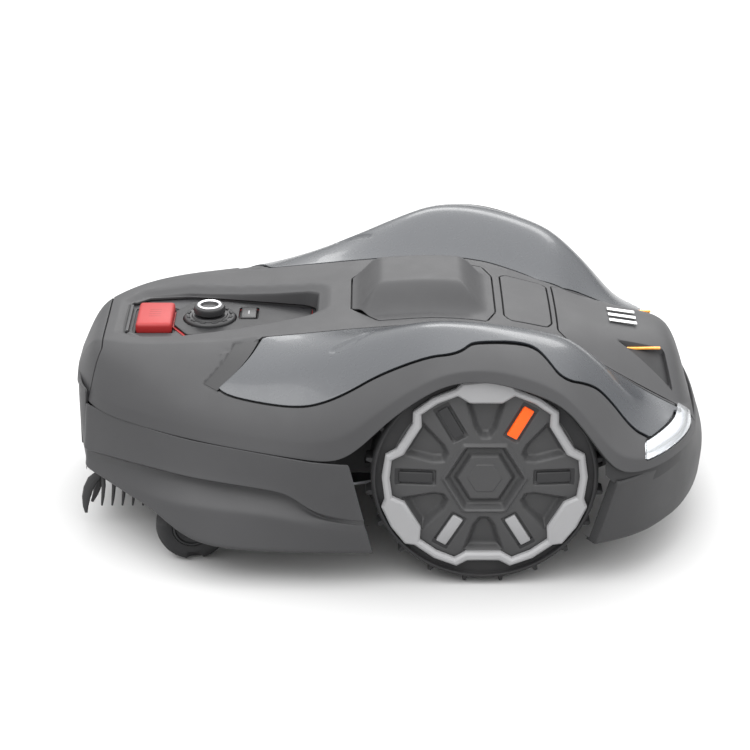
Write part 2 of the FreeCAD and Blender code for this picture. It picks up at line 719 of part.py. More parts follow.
def casterWheel(label, side):
    # the wheel runs on an inboard pin, with its rolling axis along Z here
    tread = newBody("caster_tyre_" + label)
    outer = size("casterRadius")
    half = size("casterWidth") / 2
    revolve(tread, [(20, -half + 2), (26, -half), (outer - 8, -half), (outer - 2, -half + 4),
                    (outer, -half + 9), (outer, half - 9), (outer - 2, half - 4), (outer - 8, half),
                    (26, half), (20, half - 2)])
    tread.Placement = casterPlacement(side, 0)
    hub = newBody("caster_hub_" + label)
    bore = size("casterAxleRadius") + 0.06
    revolve(hub, [(bore, -half + 2), (20, -half + 2), (20, half - 2), (17.5, half - 0.6),
                  (12, half - 3), (bore, half - 3)])
    hub.Placement = casterPlacement(side, 0)


def casterFork(label, side):
    # a stem over the wheel, a hood and one inner arm that holds the pin
    trail = size("casterTrail")
    x = size("casterX") + trail
    y = size("casterY")
    half = size("casterWidth") / 2
    stem = cylinder(size("stemRadius"), 40, (x, y, 80))
    plate = block((x - 14, y - half - 7, 79), (x + 14, y + 8, 84))
    arm = block((x - trail - 8, y - half - 7, 30), (x - trail + 8, y - half - 2, 84))
    fork = stem.fuse(plate).fuse(arm).removeSplitter()
    fork = fork.cut(cylinder(size("casterAxleRadius"), 9, (x - trail, y - half - 8, 38), Vector(0, 1, 0)))
    pin = cylinder(size("casterAxleRadius"), size("casterWidth") + 4, (x - trail, y - half - 7, 38),
                   Vector(0, 1, 0))
    for name, shape in (("caster_fork_", fork), ("caster_axle_", pin)):
        fitting(name + label, shape if side > 0 else mirrored(shape))


# ---- the cutting unit ----

def cuttingUnit():
    x = size("cutterX")
    top = size("discZ") + size("discThickness")
    carriage = newBody("cutting_carriage")
    outer = size("carriageRadius")
    high = size("carriageHeight")
    revolve(carriage, [(32.3, 4), (outer, 4), (outer, high), (32.3, high)])
    carriage.Placement = Placement(Vector(x, 0, top + 6), Rotation())
    motor = newBody("cutting_motor")
    revolve(motor, [(5.06, 0), (32, 0), (32, 50), (5.06, 50)])
    motor.Placement = Placement(Vector(x, 0, top + 10), Rotation())
    disc = newBody("blade_disc")
    radius = size("discRadius")
    revolve(disc, [(0, -5.5), (7, -5.5), (7, 0), (radius, 0), (radius, size("discThickness")),
                   (16, size("discThickness")), (16, 8), (5, 8), (5, 40), (0, 40)])
    doc.recompute()
    pivot = sketchOn(disc, "XY_Plane", "PivotHole", "10")
    drawCircle(pivot, size("bladePivotRadius"), 0, 2.6)
    polar(disc, pocket(disc, pivot, "20"), 3)
    disc.Placement = Placement(Vector(x, 0, size("discZ")), Rotation())
    reach = size("bladePivotRadius")
    for i in range(3):
        turn = 120.0 * i
        blade = newBody(f"blade_{i + 1}")
        outline = sketchOn(blade, "XY_Plane", "Outline")
        half = size("bladeWidth") / 2
        drawPolygon(outline, [(-8, -half), (24, -half), (28, 0), (24, half), (-8, half)])
        drawCircle(outline, 0, 0, 2.66)
        pad(blade, outline, "Sizes.bladeThickness")
        spot = Rotation(Vector(0, 0, 1), turn).multVec(Vector(reach, 0, 0))
        blade.Placement = Placement(Vector(x + spot.x, spot.y, size("discZ") - 1.2),
                                    Rotation(Vector(0, 0, 1), turn))
    screws = []
    for i in range(3):
        spot = Rotation(Vector(0, 0, 1), 120.0 * i).multVec(Vector(reach, 0, 0))
        base = (x + spot.x, spot.y, size("discZ") - 3.6)
        screws.append(cylinder(2.6, 8, base).fuse(cylinder(5, 2.0, base)))
    fitting("blade_screws", Part.makeCompound(screws))
    skid = newBody("skid_plate")
    revolve(skid, [(0, 0), (size("skidRadius") - 12, 0), (size("skidRadius"), 4), (size("skidRadius"), 6),
                   (0, 6)])
    skid.Placement = Placement(Vector(x, 0, size("discZ") - 12), Rotation())


def screwsUnder():
    screws = []
    for px, py in ((-280, 70), (-100, 120), (20, 120), (190, 110), (240, 60)):
        screw = cylinder(5, 2.4, (px, py, size("chassisBottom") - 2.4))
        screws += [screw, mirrored(screw)]
    fitting("chassis_screws", Part.makeCompound(screws))


def check():
    doc.recompute()
    for thing in doc.Objects:
        if "Invalid" in thing.State or "Error" in thing.State:
            raise RuntimeError(thing.Label + " failed: " + str(thing.State))
    for thing in subParts:
        shape = thing.Shape
        if shape.isNull() or not shape.isValid() or not shape.Solids:
            raise RuntimeError(thing.Label + " has no valid solid")


def export():
    os.makedirs("parts", exist_ok=True)
    for thing in subParts:
        thing.Shape.exportStep("parts/" + thing.Label + ".step")
        print(thing.Label, len(thing.Shape.Solids), round(thing.Shape.Volume / 1000.0, 1))
    print(len(subParts), "sub-parts")


def main():
    fillSheet()
    coverPieces()
    headlights()
    lightBars()
    bodySkirt()
    frontBumper()
    tailPiece()
    chassisBase()
    chassisLid()
    battery()
    circuitBoard()
    wheelMotors()
    suspensionPosts()
    fingerComb()
    chargingContacts()
    consoleTray()
    displayWindow()
    stopButton()
    startKey()
    dial()
    driveWheels()
    for label, side in (("left", 1), ("right", -1)):
        casterWheel(label, side)
        casterFork(label, side)
    cuttingUnit()
    screwsUnder()
    check()
    export()


main()
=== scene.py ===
import bmesh
import bpy
import math
import numpy as np
from mathutils import Matrix, Vector


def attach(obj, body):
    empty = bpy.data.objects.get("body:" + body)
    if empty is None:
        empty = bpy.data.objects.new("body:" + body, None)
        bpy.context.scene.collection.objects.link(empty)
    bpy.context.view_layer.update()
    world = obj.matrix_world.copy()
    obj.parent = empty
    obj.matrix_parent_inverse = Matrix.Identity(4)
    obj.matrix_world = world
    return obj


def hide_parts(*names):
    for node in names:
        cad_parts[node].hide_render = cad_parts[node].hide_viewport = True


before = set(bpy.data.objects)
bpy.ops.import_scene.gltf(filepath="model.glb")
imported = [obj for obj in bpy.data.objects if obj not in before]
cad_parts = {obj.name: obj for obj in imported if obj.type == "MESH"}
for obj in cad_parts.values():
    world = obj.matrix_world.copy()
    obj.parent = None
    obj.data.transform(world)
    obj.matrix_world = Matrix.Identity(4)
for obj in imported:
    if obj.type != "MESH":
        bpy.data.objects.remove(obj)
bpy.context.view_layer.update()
mm = 0.001


class Flow:
    # a node's output that can be used in sums like a number
    def __init__(self, paint, socket):
        self.paint = paint
        self.socket = socket

    def maths(self, operation, first, second):
        settings = {"operation": operation}
        return self.paint.node("ShaderNodeMath", settings, {0: first, 1: second}, "Value")

    def __add__(self, other):
        return self.maths("ADD", self, other)

    __radd__ = __add__

    def __sub__(self, other):
        return self.maths("SUBTRACT", self, other)

    def __rsub__(self, other):
        return self.maths("SUBTRACT", other, self)

    def __mul__(self, other):
        return self.maths("MULTIPLY", self, other)

    __rmul__ = __mul__

    def __truediv__(self, other):
        return self.maths("DIVIDE", self, other)


class Paint:
    def __init__(self, name):
        self.material = bpy.data.materials.new(name)
        self.material.use_nodes = True
        self.tree = self.material.node_tree
        self.shader = self.tree.nodes["Principled BSDF"]
        self.place = self.node("ShaderNodeTexCoord", None, None, "Object")

    def node(self, kind, settings, inputs, output):
        made = self.tree.nodes.new(kind)
        for key, value in (settings or {}).items():
            if key == "stops":
                self.setStops(made.color_ramp, value)
            else:
                setattr(made, key, value)
        for key, value in (inputs or {}).items():
            self.feed(made.inputs[key], value)
        return Flow(self, made.outputs[output])

    def feed(self, socket, value):
        if isinstance(value, Flow):
            self.tree.links.new(value.socket, socket)
        elif isinstance(value, tuple) and len(value) == 3 and socket.type == "RGBA":
            socket.default_value = (*value, 1.0)
        else:
            socket.default_value = value

    def setStops(self, ramp, stops):
        for i, (position, level) in enumerate(stops):
            element = ramp.elements[i] if i < 2 else ramp.elements.new(position)
            element.position = position
            element.color = (level, level, level, 1.0)

    def noise(self, scale, detail=3.0, place=None, roughness=0.55):
        inputs = {"Vector": place or self.place, "Scale": scale, "Detail": detail, "Roughness": roughness}
        return self.node("ShaderNodeTexNoise", None, inputs, "Fac")

    def ramp(self, value, *stops):
        return self.node("ShaderNodeValToRGB", {"stops": stops}, {"Fac": value}, "Color")

    def mix(self, factor, first, second):
        return self.node("ShaderNodeMix", {"data_type": "RGBA"}, {0: factor, 6: first, 7: second}, 2)

    def bump(self, height, strength, distance):
        inputs = {"Height": height, "Strength": strength, "Distance": distance}
        self.set("Normal", self.node("ShaderNodeBump", None, inputs, "Normal"))

    def set(self, name, value):
        self.feed(self.shader.inputs[name], value)


def shade(colour, factor):
    return tuple(channel * factor for channel in colour)


# colour, roughness and grain of each moulded plastic
mouldedLooks = {
    "bodyGrey": ((0.036, 0.036, 0.0375), 0.5, 0.10),
    "bumperGrey": ((0.028, 0.028, 0.029), 0.5, 0.12),
    "wheelGrey": ((0.042, 0.042, 0.043), 0.42, 0.10),
    "chassisBlack": ((0.018, 0.018, 0.019), 0.55, 0.15),
    "ringSilver": ((0.25, 0.25, 0.255), 0.40, 0.05),
    "insertDark": ((0.018, 0.018, 0.019), 0.45, 0.08),
    "stopRed": ((0.27, 0.016, 0.016), 0.42, 0.05),
    "keyBlack": ((0.020, 0.020, 0.021), 0.34, 0.08),
    "insertOrange": ((0.95, 0.10, 0.004), 0.38, 0.04),
    "tailGrey": ((0.034, 0.034, 0.035), 0.5, 0.12),
    "stripGrey": ((0.024, 0.024, 0.025), 0.5, 0.14),
    "stopDark": ((0.16, 0.010, 0.010), 0.45, 0.05),
    "deckGrey": ((0.030, 0.030, 0.032), 0.48, 0.12),
    "deckBlack": ((0.004, 0.004, 0.005), 0.42, 0.02),
    "markWhite": ((0.82, 0.82, 0.82), 0.35, 0.03),
    "boardGreen": ((0.02, 0.13, 0.05), 0.35, 0.04),
}


def mouldedPlastic(name):
    # injection-moulded plastic: spark-eroded grain, faint flow marks and handling polish
    colour, roughness, grain = mouldedLooks[name]
    paint = Paint(name)
    flow = paint.noise(9.0, 4.0)
    fine = paint.noise(2600.0, 2.0)
    rub = paint.ramp(paint.noise(30.0, 5.0), (0.38, 0.0), (0.72, 1.0))
    tone = paint.mix(flow, shade(colour, 0.93), shade(colour, 1.07))
    paint.set("Base Color", paint.mix(rub * 0.18, tone, shade(colour, 1.16)))
    paint.set("Roughness", roughness + fine * 0.10 - rub * 0.05)
    paint.set("Specular IOR Level", 0.34)
    paint.bump(fine + flow * 0.05, grain, 0.0004)
    return paint.material


def glossPlastic(name, colour, clear):
    # high-gloss moulded skin: orange peel under a clear coat, hairline wipe marks
    paint = Paint(name)
    peel = paint.noise(140.0, 2.0)
    dust = paint.ramp(paint.noise(60.0, 6.0), (0.45, 0.0), (0.8, 1.0))
    paint.set("Base Color", paint.mix(dust * 0.08, colour, shade(colour, 1.2)))
    paint.set("Roughness", 0.27 + dust * 0.03)
    paint.set("Coat Weight", clear - dust * 0.04)
    paint.set("Coat Roughness", 0.06)
    paint.bump(peel, 0.03, 0.0008)
    return paint.material


def tyreRubber():
    paint = Paint("tyreRubber")
    bloom = paint.ramp(paint.noise(24.0, 5.0), (0.40, 0.0), (0.75, 1.0))
    fine = paint.noise(1500.0, 3.0)
    paint.set("Base Color", paint.mix(bloom * 0.5, (0.016, 0.016, 0.017), (0.027, 0.026, 0.026)))
    paint.set("Roughness", 0.62 + fine * 0.16)
    paint.set("Specular IOR Level", 0.35)
    paint.bump(fine, 0.25, 0.0005)
    return paint.material


def metal(name, colour, roughness, streak):
    paint = Paint(name)
    stretch = paint.node("ShaderNodeMapping", None, {"Vector": paint.place, "Scale": streak}, "Vector")
    lines = paint.noise(220.0, 4.0, stretch)
    paint.set("Base Color", paint.mix(lines, shade(colour, 0.86), colour))
    paint.set("Metallic", 1.0)
    paint.set("Roughness", roughness + lines * 0.12)
    paint.bump(lines, 0.06, 0.0003)
    return paint.material


def lampLens():
    paint = Paint("lampLens")
    smear = paint.noise(40.0, 3.0)
    paint.set("Base Color", (0.92, 0.94, 0.96))
    paint.set("Roughness", 0.05 + smear * 0.05)
    paint.set("Transmission Weight", 0.85)
    paint.set("IOR", 1.45)
    paint.bump(smear, 0.02, 0.0006)
    return paint.material


def amberLens():
    paint = Paint("amberLens")
    cells = paint.noise(300.0, 1.0)
    paint.set("Base Color", paint.mix(cells, (0.85, 0.30, 0.03), (1.0, 0.46, 0.09)))
    paint.set("Roughness", 0.22 + cells * 0.1)
    paint.set("Coat Weight", 0.6)
    return paint.material


def reflectorPaintedBands():
    # plated strip with a painted reflection: dark and bright bands by height along its length
    paint = Paint("reflectorPaintedBands")
    height = paint.node("ShaderNodeSeparateXYZ", None, {"Vector": paint.place}, "Z")
    paintedBand = paint.ramp((height - 0.134) / 0.016, (0.0, 0.85), (0.24, 0.55), (0.34, 0.10), (0.46, 0.62),
                      (0.7, 0.95), (1.0, 0.35))
    paint.set("Base Color", paint.mix(paintedBand, (0.05, 0.05, 0.055), (0.86, 0.87, 0.89)))
    paint.set("Metallic", 1.0)
    paint.set("Roughness", 0.18 + paint.noise(90.0) * 0.08)
    return paint.material


def makeFinishes():
    finishes = {name: mouldedPlastic(name) for name in mouldedLooks}
    finishes["panelGloss"] = glossPlastic("panelGloss", (0.029, 0.032, 0.037), 0.25)
    finishes["displayGloss"] = mouldedPlastic("deckBlack")
    finishes["tyreRubber"] = tyreRubber()
    finishes["lampLens"] = lampLens()
    finishes["amberLens"] = amberLens()
    finishes["reflectorPaintedBands"] = reflectorPaintedBands()
    finishes["chrome"] = metal("chrome", (0.80, 0.81, 0.83), 0.10, (1.0, 1.0, 1.0))
    finishes["castMetal"] = metal("castMetal", (0.50, 0.51, 0.53), 0.38, (1.0, 1.0, 1.0))
    finishes["bladeSteel"] = metal("bladeSteel", (0.62, 0.63, 0.65), 0.22, (1.0, 12.0, 1.0))
    return finishes


finish = makeFinishes()
print("finishes ready:", len(finish))

# a name that ends in an underscore stands for the left and the right piece
cadFinish = {
    "bodyGrey": ["top_cover", "antenna_box_cover", "badge_plate", "nose_cover", "body_skirt"],
    "tailGrey": ["tail_piece"],
    "panelGloss": ["side_panel_"],
    "bumperGrey": ["front_bumper", "finger_comb"],
    "lampLens": ["headlight_lenses"],
    "chrome": ["headlight_housings", "charging_contacts", "caster_axle_"],
    "amberLens": ["light_bars"],
    "chassisBlack": ["chassis_base", "chassis_lid", "console_tray", "suspension_posts", "cutting_carriage",
                     "skid_plate", "battery_pack", "wheel_rim_", "caster_hub_", "caster_fork_"],
    "boardGreen": ["main_circuit_board"],
    "castMetal": ["wheel_motor_", "cutting_motor", "blade_disc", "drive_shaft_"],
    "bladeSteel": ["blade_1", "blade_2", "blade_3", "blade_screws", "chassis_screws"],
    "displayGloss": ["display_window"],
    "stopRed": ["stop_button"],
    "keyBlack": ["start_key", "dial_flange", "dial_knob"],
    "tyreRubber": ["drive_tyre_", "caster_tyre_"],
    "wheelGrey": ["wheel_cover_", "hub_cap_"],
    "ringSilver": ["trim_ring_", "slot_inserts_"],
    "insertOrange": ["accent_insert_"],
}

for name, nodes in cadFinish.items():
    for node in nodes:
        for ending in ("left", "right") if node.endswith("_") else ("",):
            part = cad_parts[node + ending]
            part.data.materials.clear()
            part.data.materials.append(finish[name])


def toPiece(bm, name, material, body, replaced=()):
    for face in bm.faces:
        face.smooth = True
    mesh = bpy.data.meshes.new(name)
    bm.to_mesh(mesh)
    bm.free()
    mesh.materials.append(finish[material])
    piece = bpy.data.objects.new(name, mesh)
    bpy.context.scene.collection.objects.link(piece)
    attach(piece, body)
    if replaced:
        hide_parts(*replaced)
    return piece


def thicken(piece, wall, edge, segments=2, angle=50):
    if wall:
        shell = piece.modifiers.new("wall", "SOLIDIFY")
        shell.thickness = wall
        shell.offset = -1
        shell.use_even_offset = False
    softenEdges(piece, edge, segments, angle)


def softenEdges(piece, edge, segments=2, angle=50):
    round_ = piece.modifiers.new("edges", "BEVEL")
    round_.width = edge
    round_.segments = segments
    round_.limit_method = "ANGLE"
    round_.angle_limit = math.radians(angle)
    round_.use_clamp_overlap = False
    weigh = piece.modifiers.new("normals", "WEIGHTED_NORMAL")
    weigh.keep_sharp = True
    weigh.weight = 60


def growEdges(bm, ring, places):
    # extrudes a row of edges and sets each new corner at its place
    edges = [bm.edges.get(pair) for pair in zip(ring, ring[1:])]
    grown = bmesh.ops.extrude_edge_only(bm, edges=edges)["geom"]
    fresh = {item for item in grown if isinstance(item, bmesh.types.BMVert)}
    row = []
    for corner, place in zip(ring, places):
        mate = next(e.other_vert(corner) for e in corner.link_edges if e.other_vert(corner) in fresh)
        mate.co = place
        row.append(mate)
    return row


def loftCage(rows, creasedColumns=(), creasedRows=(), crease=0.7):
    # a cage grown row by row, with some lines held sharp for the subdivision
    bm = bmesh.new()
    ring = [bm.verts.new(place) for place in rows[0]]
    for pair in zip(ring, ring[1:]):
        bm.edges.new(pair)
    grid = [ring]
    for places in rows[1:]:
        grid.append(growEdges(bm, grid[-1], places))
    layer = bm.edges.layers.float.new("crease_edge")
    for column in creasedColumns:
        line = [ring[column] for ring in grid]
        for pair in zip(line, line[1:]):
            bm.edges.get(pair)[layer] = crease
    for index in creasedRows:
        for pair in zip(grid[index], grid[index][1:]):
            bm.edges.get(pair)[layer] = crease
    return bm


def subdivided(bm, levels):
    # returns the cage's smooth surface as a new bmesh
    mesh = bpy.data.meshes.new("cage")
    bm.to_mesh(mesh)
    bm.free()
    holder = bpy.data.objects.new("cage", mesh)
    bpy.context.scene.collection.objects.link(holder)
    smooth = holder.modifiers.new("smooth", "SUBSURF")
    smooth.levels = levels
    smooth.render_levels = levels
    graph = bpy.context.evaluated_depsgraph_get()
    dense = bpy.data.meshes.new_from_object(holder.evaluated_get(graph))
    fine = bmesh.new()
    fine.from_mesh(dense)
    bpy.data.objects.remove(holder)
    bpy.data.meshes.remove(mesh)
    bpy.data.meshes.remove(dense)
    return fine


def outlineDistance(points, corner=0.0):
    # signed distance to a closed outline with rounded corners, below zero inside it
    outline = np.array(points, float)
    following = np.roll(outline, -1, axis=0)

    def distance(place):
        nearest = np.full(len(place), 1e9)
        inside = np.zeros(len(place), bool)
        for a, b in zip(outline, following):
            side = b - a
            arm = place - a
            along = np.clip((arm @ side) / (side @ side), 0, 1)
            gap = arm - along[:, None] * side
            nearest = np.minimum(nearest, (gap * gap).sum(1))
            crosses = (a[1] > place[:, 1]) != (b[1] > place[:, 1])
            rise = b[1] - a[1] if b[1] != a[1] else 1e-9
            inside ^= crosses & (place[:, 0] < side[0] * (place[:, 1] - a[1]) / rise + a[0])
        away = np.sqrt(nearest)
        return np.where(inside, -away, away) - corner

    return distance


def eased(points, rounds=2):
    # rounds the corners of an open line, keeping its ends
    for _ in range(rounds):
        cut = [points[0]]
        for (ax, ay), (bx, by) in zip(points, points[1:]):
            cut.append((ax * 0.75 + bx * 0.25, ay * 0.75 + by * 0.25))
            cut.append((ax * 0.25 + bx * 0.75, ay * 0.25 + by * 0.75))
        points = cut + [points[-1]]
    return points


def flatPlan(points, corner=0.0):
    # an outline seen from above
    distance = outlineDistance(points, corner)
    return lambda place: distance(place[:, (0, 1)])


def sideView(points, corner=0.0):
    # an outline seen from the side
    distance = outlineDistance(points, corner)
    return lambda place: distance(place[:, (0, 2)])


def both(*fields):
    return lambda place: np.max([field(place) for field in fields], axis=0)


def either(*fields):
    return lambda place: np.min([field(place) for field in fields], axis=0)


def mirroredField(field):
    return lambda place: field(place * np.array((1.0, -1.0, 1.0)))


def score(bm, value):
    # cuts every edge where the value passes zero; an array holds one value for each corner
    level = bm.verts.layers.float.new("level")
    corners = list(bm.verts)
    for index, corner in enumerate(corners):
        corner.index = index
    snapped = set()
    for edge in bm.edges:
        a, b = edge.verts[0].index, edge.verts[1].index
        if value[a] * value[b] < 0:
            share = value[a] / (value[a] - value[b])
            near = a if share < 0.18 else b if share > 0.82 else None
            if near is not None and near not in snapped:
                snapped.add(near)
                corners[near].co = edge.verts[0].co.lerp(edge.verts[1].co, share)
                value[near] = 0.0
    for corner, amount in zip(corners, value):
        corner[level] = amount
    crossing = [e for e in bm.edges if e.verts[0][level] * e.verts[1][level] < 0]
    line = [corners[index] for index in snapped]
    for edge in crossing:
        first = edge.verts[0]
        share = first[level] / (first[level] - edge.verts[1][level])
        fresh = bmesh.utils.edge_split(edge, first, share)[1]
        fresh[level] = 0.0
        line.append(fresh)
    bmesh.ops.connect_verts(bm, verts=line)
    return level


def cornerPlaces(bm):
    return np.array([corner.co for corner in bm.verts]) / mm


def trim(bm, field, gap, keepInside):
    # cuts the surface along the outline, half a seam gap away from it, and drops one side
    value = field(cornerPlaces(bm))
    level = score(bm, value + gap if keepInside else gap - value)
    outside = [f for f in bm.faces if max((v[level] for v in f.verts), key=abs) > 0]
    bmesh.ops.delete(bm, geom=outside, context="FACES")
    bm.verts.layers.float.remove(bm.verts.layers.float["level"])


def scoreOnly(bm, value):
    score(bm, value)
    bm.verts.layers.float.remove(bm.verts.layers.float["level"])


def relief(bm, field, depth, wall, share=None):
    # presses the inside of an outline down along Z, with a rounded wall of the given width
    weight = share or (lambda place: 1.0)
    for part in (0.0, 0.3, 0.7, 1.0):
        scoreOnly(bm, field(cornerPlaces(bm)) + wall * part)
    place = cornerPlaces(bm)
    step = np.clip(-field(place) / wall, 0, 1)
    fall = depth * step * step * (3 - 2 * step) * weight(place)
    for corner, amount in zip(bm.verts, fall):
        corner.co.z -= amount * mm


def spin(bm, corners, angle, axis="Z"):
    turn = Matrix.Rotation(math.radians(angle), 3, axis)
    bmesh.ops.rotate(bm, cent=(0, 0, 0), matrix=turn, verts=corners)


def shift(bm, corners, *offset):
    bmesh.ops.translate(bm, vec=Vector(offset) * mm, verts=corners)


def faceOutwards(bm, centre):
    # turns an open skin so that its faces look away from a point
    bm.normal_update()
    facing = sum(face.normal.dot(face.calc_center_median() - centre) for face in bm.faces)
    if facing < 0:
        bmesh.ops.reverse_faces(bm, faces=bm.faces)


def mirrorAcross(bm):
    bmesh.ops.scale(bm, vec=(1, -1, 1), verts=bm.verts)
    bmesh.ops.reverse_faces(bm, faces=bm.faces)


def roundedBox(bm, centre, spans, edge, segments=2, turn=0.0):
    # a box with rounded edges, turned about Z on its own centre
    made = bmesh.ops.create_cube(bm, size=1.0)["verts"]
    bmesh.ops.scale(bm, vec=Vector(spans) * mm, verts=made)
    edges = list({e for v in made for e in v.link_edges})
    made = list({v for e in bmesh.ops.bevel(bm, geom=edges, offset=edge * mm, segments=segments,
                                            profile=0.5, affect="EDGES", material=-1)["faces"]
                 for v in e.verts} | {v for v in made if v.is_valid})
    spin(bm, made, turn)
    shift(bm, made, *centre)
    return made


def turned(profile, steps=96, start=None):
    # a solid turned about Z from (radius, height) points
    bm = start or bmesh.new()
    line = [bm.verts.new(Vector((r, 0, z)) * mm) for r, z in profile]
    edges = [bm.edges.new(pair) for pair in zip(line, line[1:])]
    bmesh.ops.spin(bm, geom=line + edges, cent=(0, 0, 0), axis=(0, 0, 1), angle=2 * math.pi,
                   steps=steps, use_merge=True, use_duplicate=False)
    bmesh.ops.remove_doubles(bm, verts=bm.verts, dist=0.01 * mm)
    bmesh.ops.recalc_face_normals(bm, faces=bm.faces)
    return bm


# half sections of the cover at each X: middle, flat edge, valley edge, crest (two), shoulder, lip (two)
coverSections = {
    -337: [(0, 160), (12, 160), (20, 160), (25, 159), (30, 158), (38, 154), (42, 150), (45, 146)],
    -320: [(0, 198), (24, 199), (44, 198), (54, 194), (64, 188), (82, 170), (90, 157), (96, 145)],
    -300: [(0, 204), (40, 205), (64, 204), (78, 199), (92, 190), (108, 168), (115, 156), (120, 144.5)],
    -270: [(0, 207), (48, 207), (86, 209), (100, 205), (114, 195), (130, 172), (138, 157), (143, 144)],
    -225: [(0, 208), (52, 208), (95, 215), (116, 209), (136, 195), (156, 172), (164, 156), (170, 143)],
    -180: [(0, 211), (50, 211), (97, 218), (124, 211), (149, 196), (174, 172), (184, 156), (191, 142.5)],
    -135: [(0, 216), (48, 216), (97, 222), (130, 215), (160, 203), (190, 175), (201, 156), (208, 142)],
    -90: [(0, 223), (48, 223), (97, 226), (134, 226), (168, 214), (204, 178), (216, 156), (223, 141)],
    -48: [(0, 231), (48, 231), (97, 230), (138, 239), (170, 232), (212, 196), (228, 166), (234, 141)],
    -10: [(0, 234), (48, 234), (97, 233), (145, 253), (168, 250), (213, 221), (228, 203), (234, 187)],
    35: [(0, 237), (48, 237), (97, 236), (152, 266), (174, 267), (212, 248), (228, 233), (234, 221)],
    62: [(0, 236), (48, 236), (97, 235), (156, 268), (178, 268), (216, 254), (231, 243), (235, 232)],
    93: [(0, 233), (48, 233), (96, 232), (156, 266), (178, 266), (216, 255), (231, 245), (236, 233.5)],
    125: [(0, 228), (48, 228), (93, 224), (150, 259), (176, 260), (214, 249), (230, 238), (236, 226)],
    165: [(0, 221), (48, 219), (81, 213), (140, 248), (170, 250), (212, 232), (229, 222), (235, 210)],
    187: [(0, 217), (48, 215), (77, 205), (135, 236), (168, 240), (212, 213), (229, 200), (236, 187)],
    212: [(0, 211), (49, 208), (87, 191), (132, 213), (165, 218), (213, 180), (228, 164), (235, 149)],
    229: [(0, 207), (49, 204), (92, 182), (130, 196), (163, 199), (209, 162), (226, 147), (233, 131)],
    252: [(0, 203), (48, 200), (98, 171), (128, 170), (158, 169), (203, 149), (215, 137), (219, 126)],
    275: [(0, 199), (46, 196), (103, 160), (124, 156), (146, 154), (184, 146), (196, 135), (200, 125)],
    304: [(0, 191), (44, 188), (107, 147), (122, 147), (134, 146), (148, 143), (155, 134), (157, 124)],
    318: [(0, 140), (40, 139), (70, 137), (82, 136), (92, 134), (108, 130), (115, 127), (118, 123)],
}

noseSeam = [(175, 61), (187, 75), (219, 90), (281, 105), (304, 107), (330, 108)]
panelTopSeam = [(-137, 97), (93, 96), (125, 92), (165, 80), (178, 70), (191, 81), (220, 94), (281, 109),
                (303, 112)]
panelSideSeam = [(-180, 190), (-168, 185), (-123, 184), (-94, 186), (-73, 192), (-48, 204), (-13, 226),
                 (34, 248), (59, 253), (70, 256), (79, 260), (111, 258), (141, 251), (155, 241),
                 (168, 227), (201, 210), (218, 193), (243, 161), (262, 149), (303, 149), (303, 300),
                 (-133, 300), (-133, 224)]
consoleHalf = [(-281, 38), (-266, 52), (-225, 57), (-90, 31), (-81, 24)]
antennaHalf = [(-40, 42), (-13, 77), (97, 74), (106, 50)]
badgeHalf = [(121, 54), (126, 60), (162, 57), (166, 50)]
seamGap = 0.8


def closedPlan(half):
    return half + [(x, -y) for x, y in reversed(half)]


def coverSkin(levels):
    rows = []
    for x, half in coverSections.items():
        full = [(-y, z) for y, z in reversed(half[1:])] + half
        rows.append([Vector((x, y, z)) * mm for y, z in full])
    valley = 2
    lip = 6
    middle = len(coverSections[-337]) - 1
    columns = [middle - valley, middle + valley, middle - lip, middle + lip]
    return subdivided(loftCage(rows, columns, crease=0.75), levels)


# the side seam runs below the crest; the slope between crest and valley belongs to the panel as well
panelSlope = [(-137, 97), (-90, 134), (-48, 138), (-10, 146), (35, 154), (93, 157), (125, 151), (165, 141),
              (187, 136), (212, 132), (229, 130), (252, 127), (303, 120), (303, 80), (-137, 80)]
panelField = both(either(sideView(eased(panelSideSeam[:-4]) + panelSideSeam[-4:]), flatPlan(panelSlope)),
                  flatPlan(eased(panelTopSeam) + [(303, 300), (-200, 300), (-200, 97)]))
noseField = flatPlan(closedPlan(eased(noseSeam)))
antennaField = flatPlan(closedPlan(antennaHalf), 3.0)
badgeField = flatPlan(closedPlan(badgeHalf), 3.0)
consoleField = flatPlan(closedPlan(consoleHalf), 4.0)
tailField = flatPlan([(-360, -88), (-317, -88), (-306, -70), (-306, 70), (-317, 88), (-360, 88)])


def raiseSkin(bm, field, height, slope):
    # lifts the skin inside an outline, with a soft foot and a soft top edge
    corners = list(bm.verts)
    place = np.array([corner.co for corner in corners]) / mm
    share = np.clip(-field(place) / slope + 0.5, 0, 1)
    lift = height * share * share * (3 - 2 * share)
    for corner, amount in zip(corners, lift):
        corner.co.z += amount * mm


ductOutline = [(237, 49.5), (289, 47), (296, 94)]
lampOutline = [(258, 136.5), (312, 136.5), (312, 147.6), (258, 147.6)]
grooveOutline = [(-194, 192), (-180, 188), (-134, 224.5), (-153, 226.5)]
dentOutline = [(-66, 152), (-60, 146), (-20, 134), (-18, 137), (-42, 156), (-56, 158)]
lampField = both(sideView(lampOutline, 1.5), lambda place: 100 - np.abs(place[:, 1]))
grooveField = both(sideView(grooveOutline, 1.5), lambda place: 101 - np.abs(place[:, 1]))


def evenly(field):
    # the same outline on both sides of the middle
    return lambda place: field(np.abs(place) * (0, 1, 0) + place * (1, 0, 1))


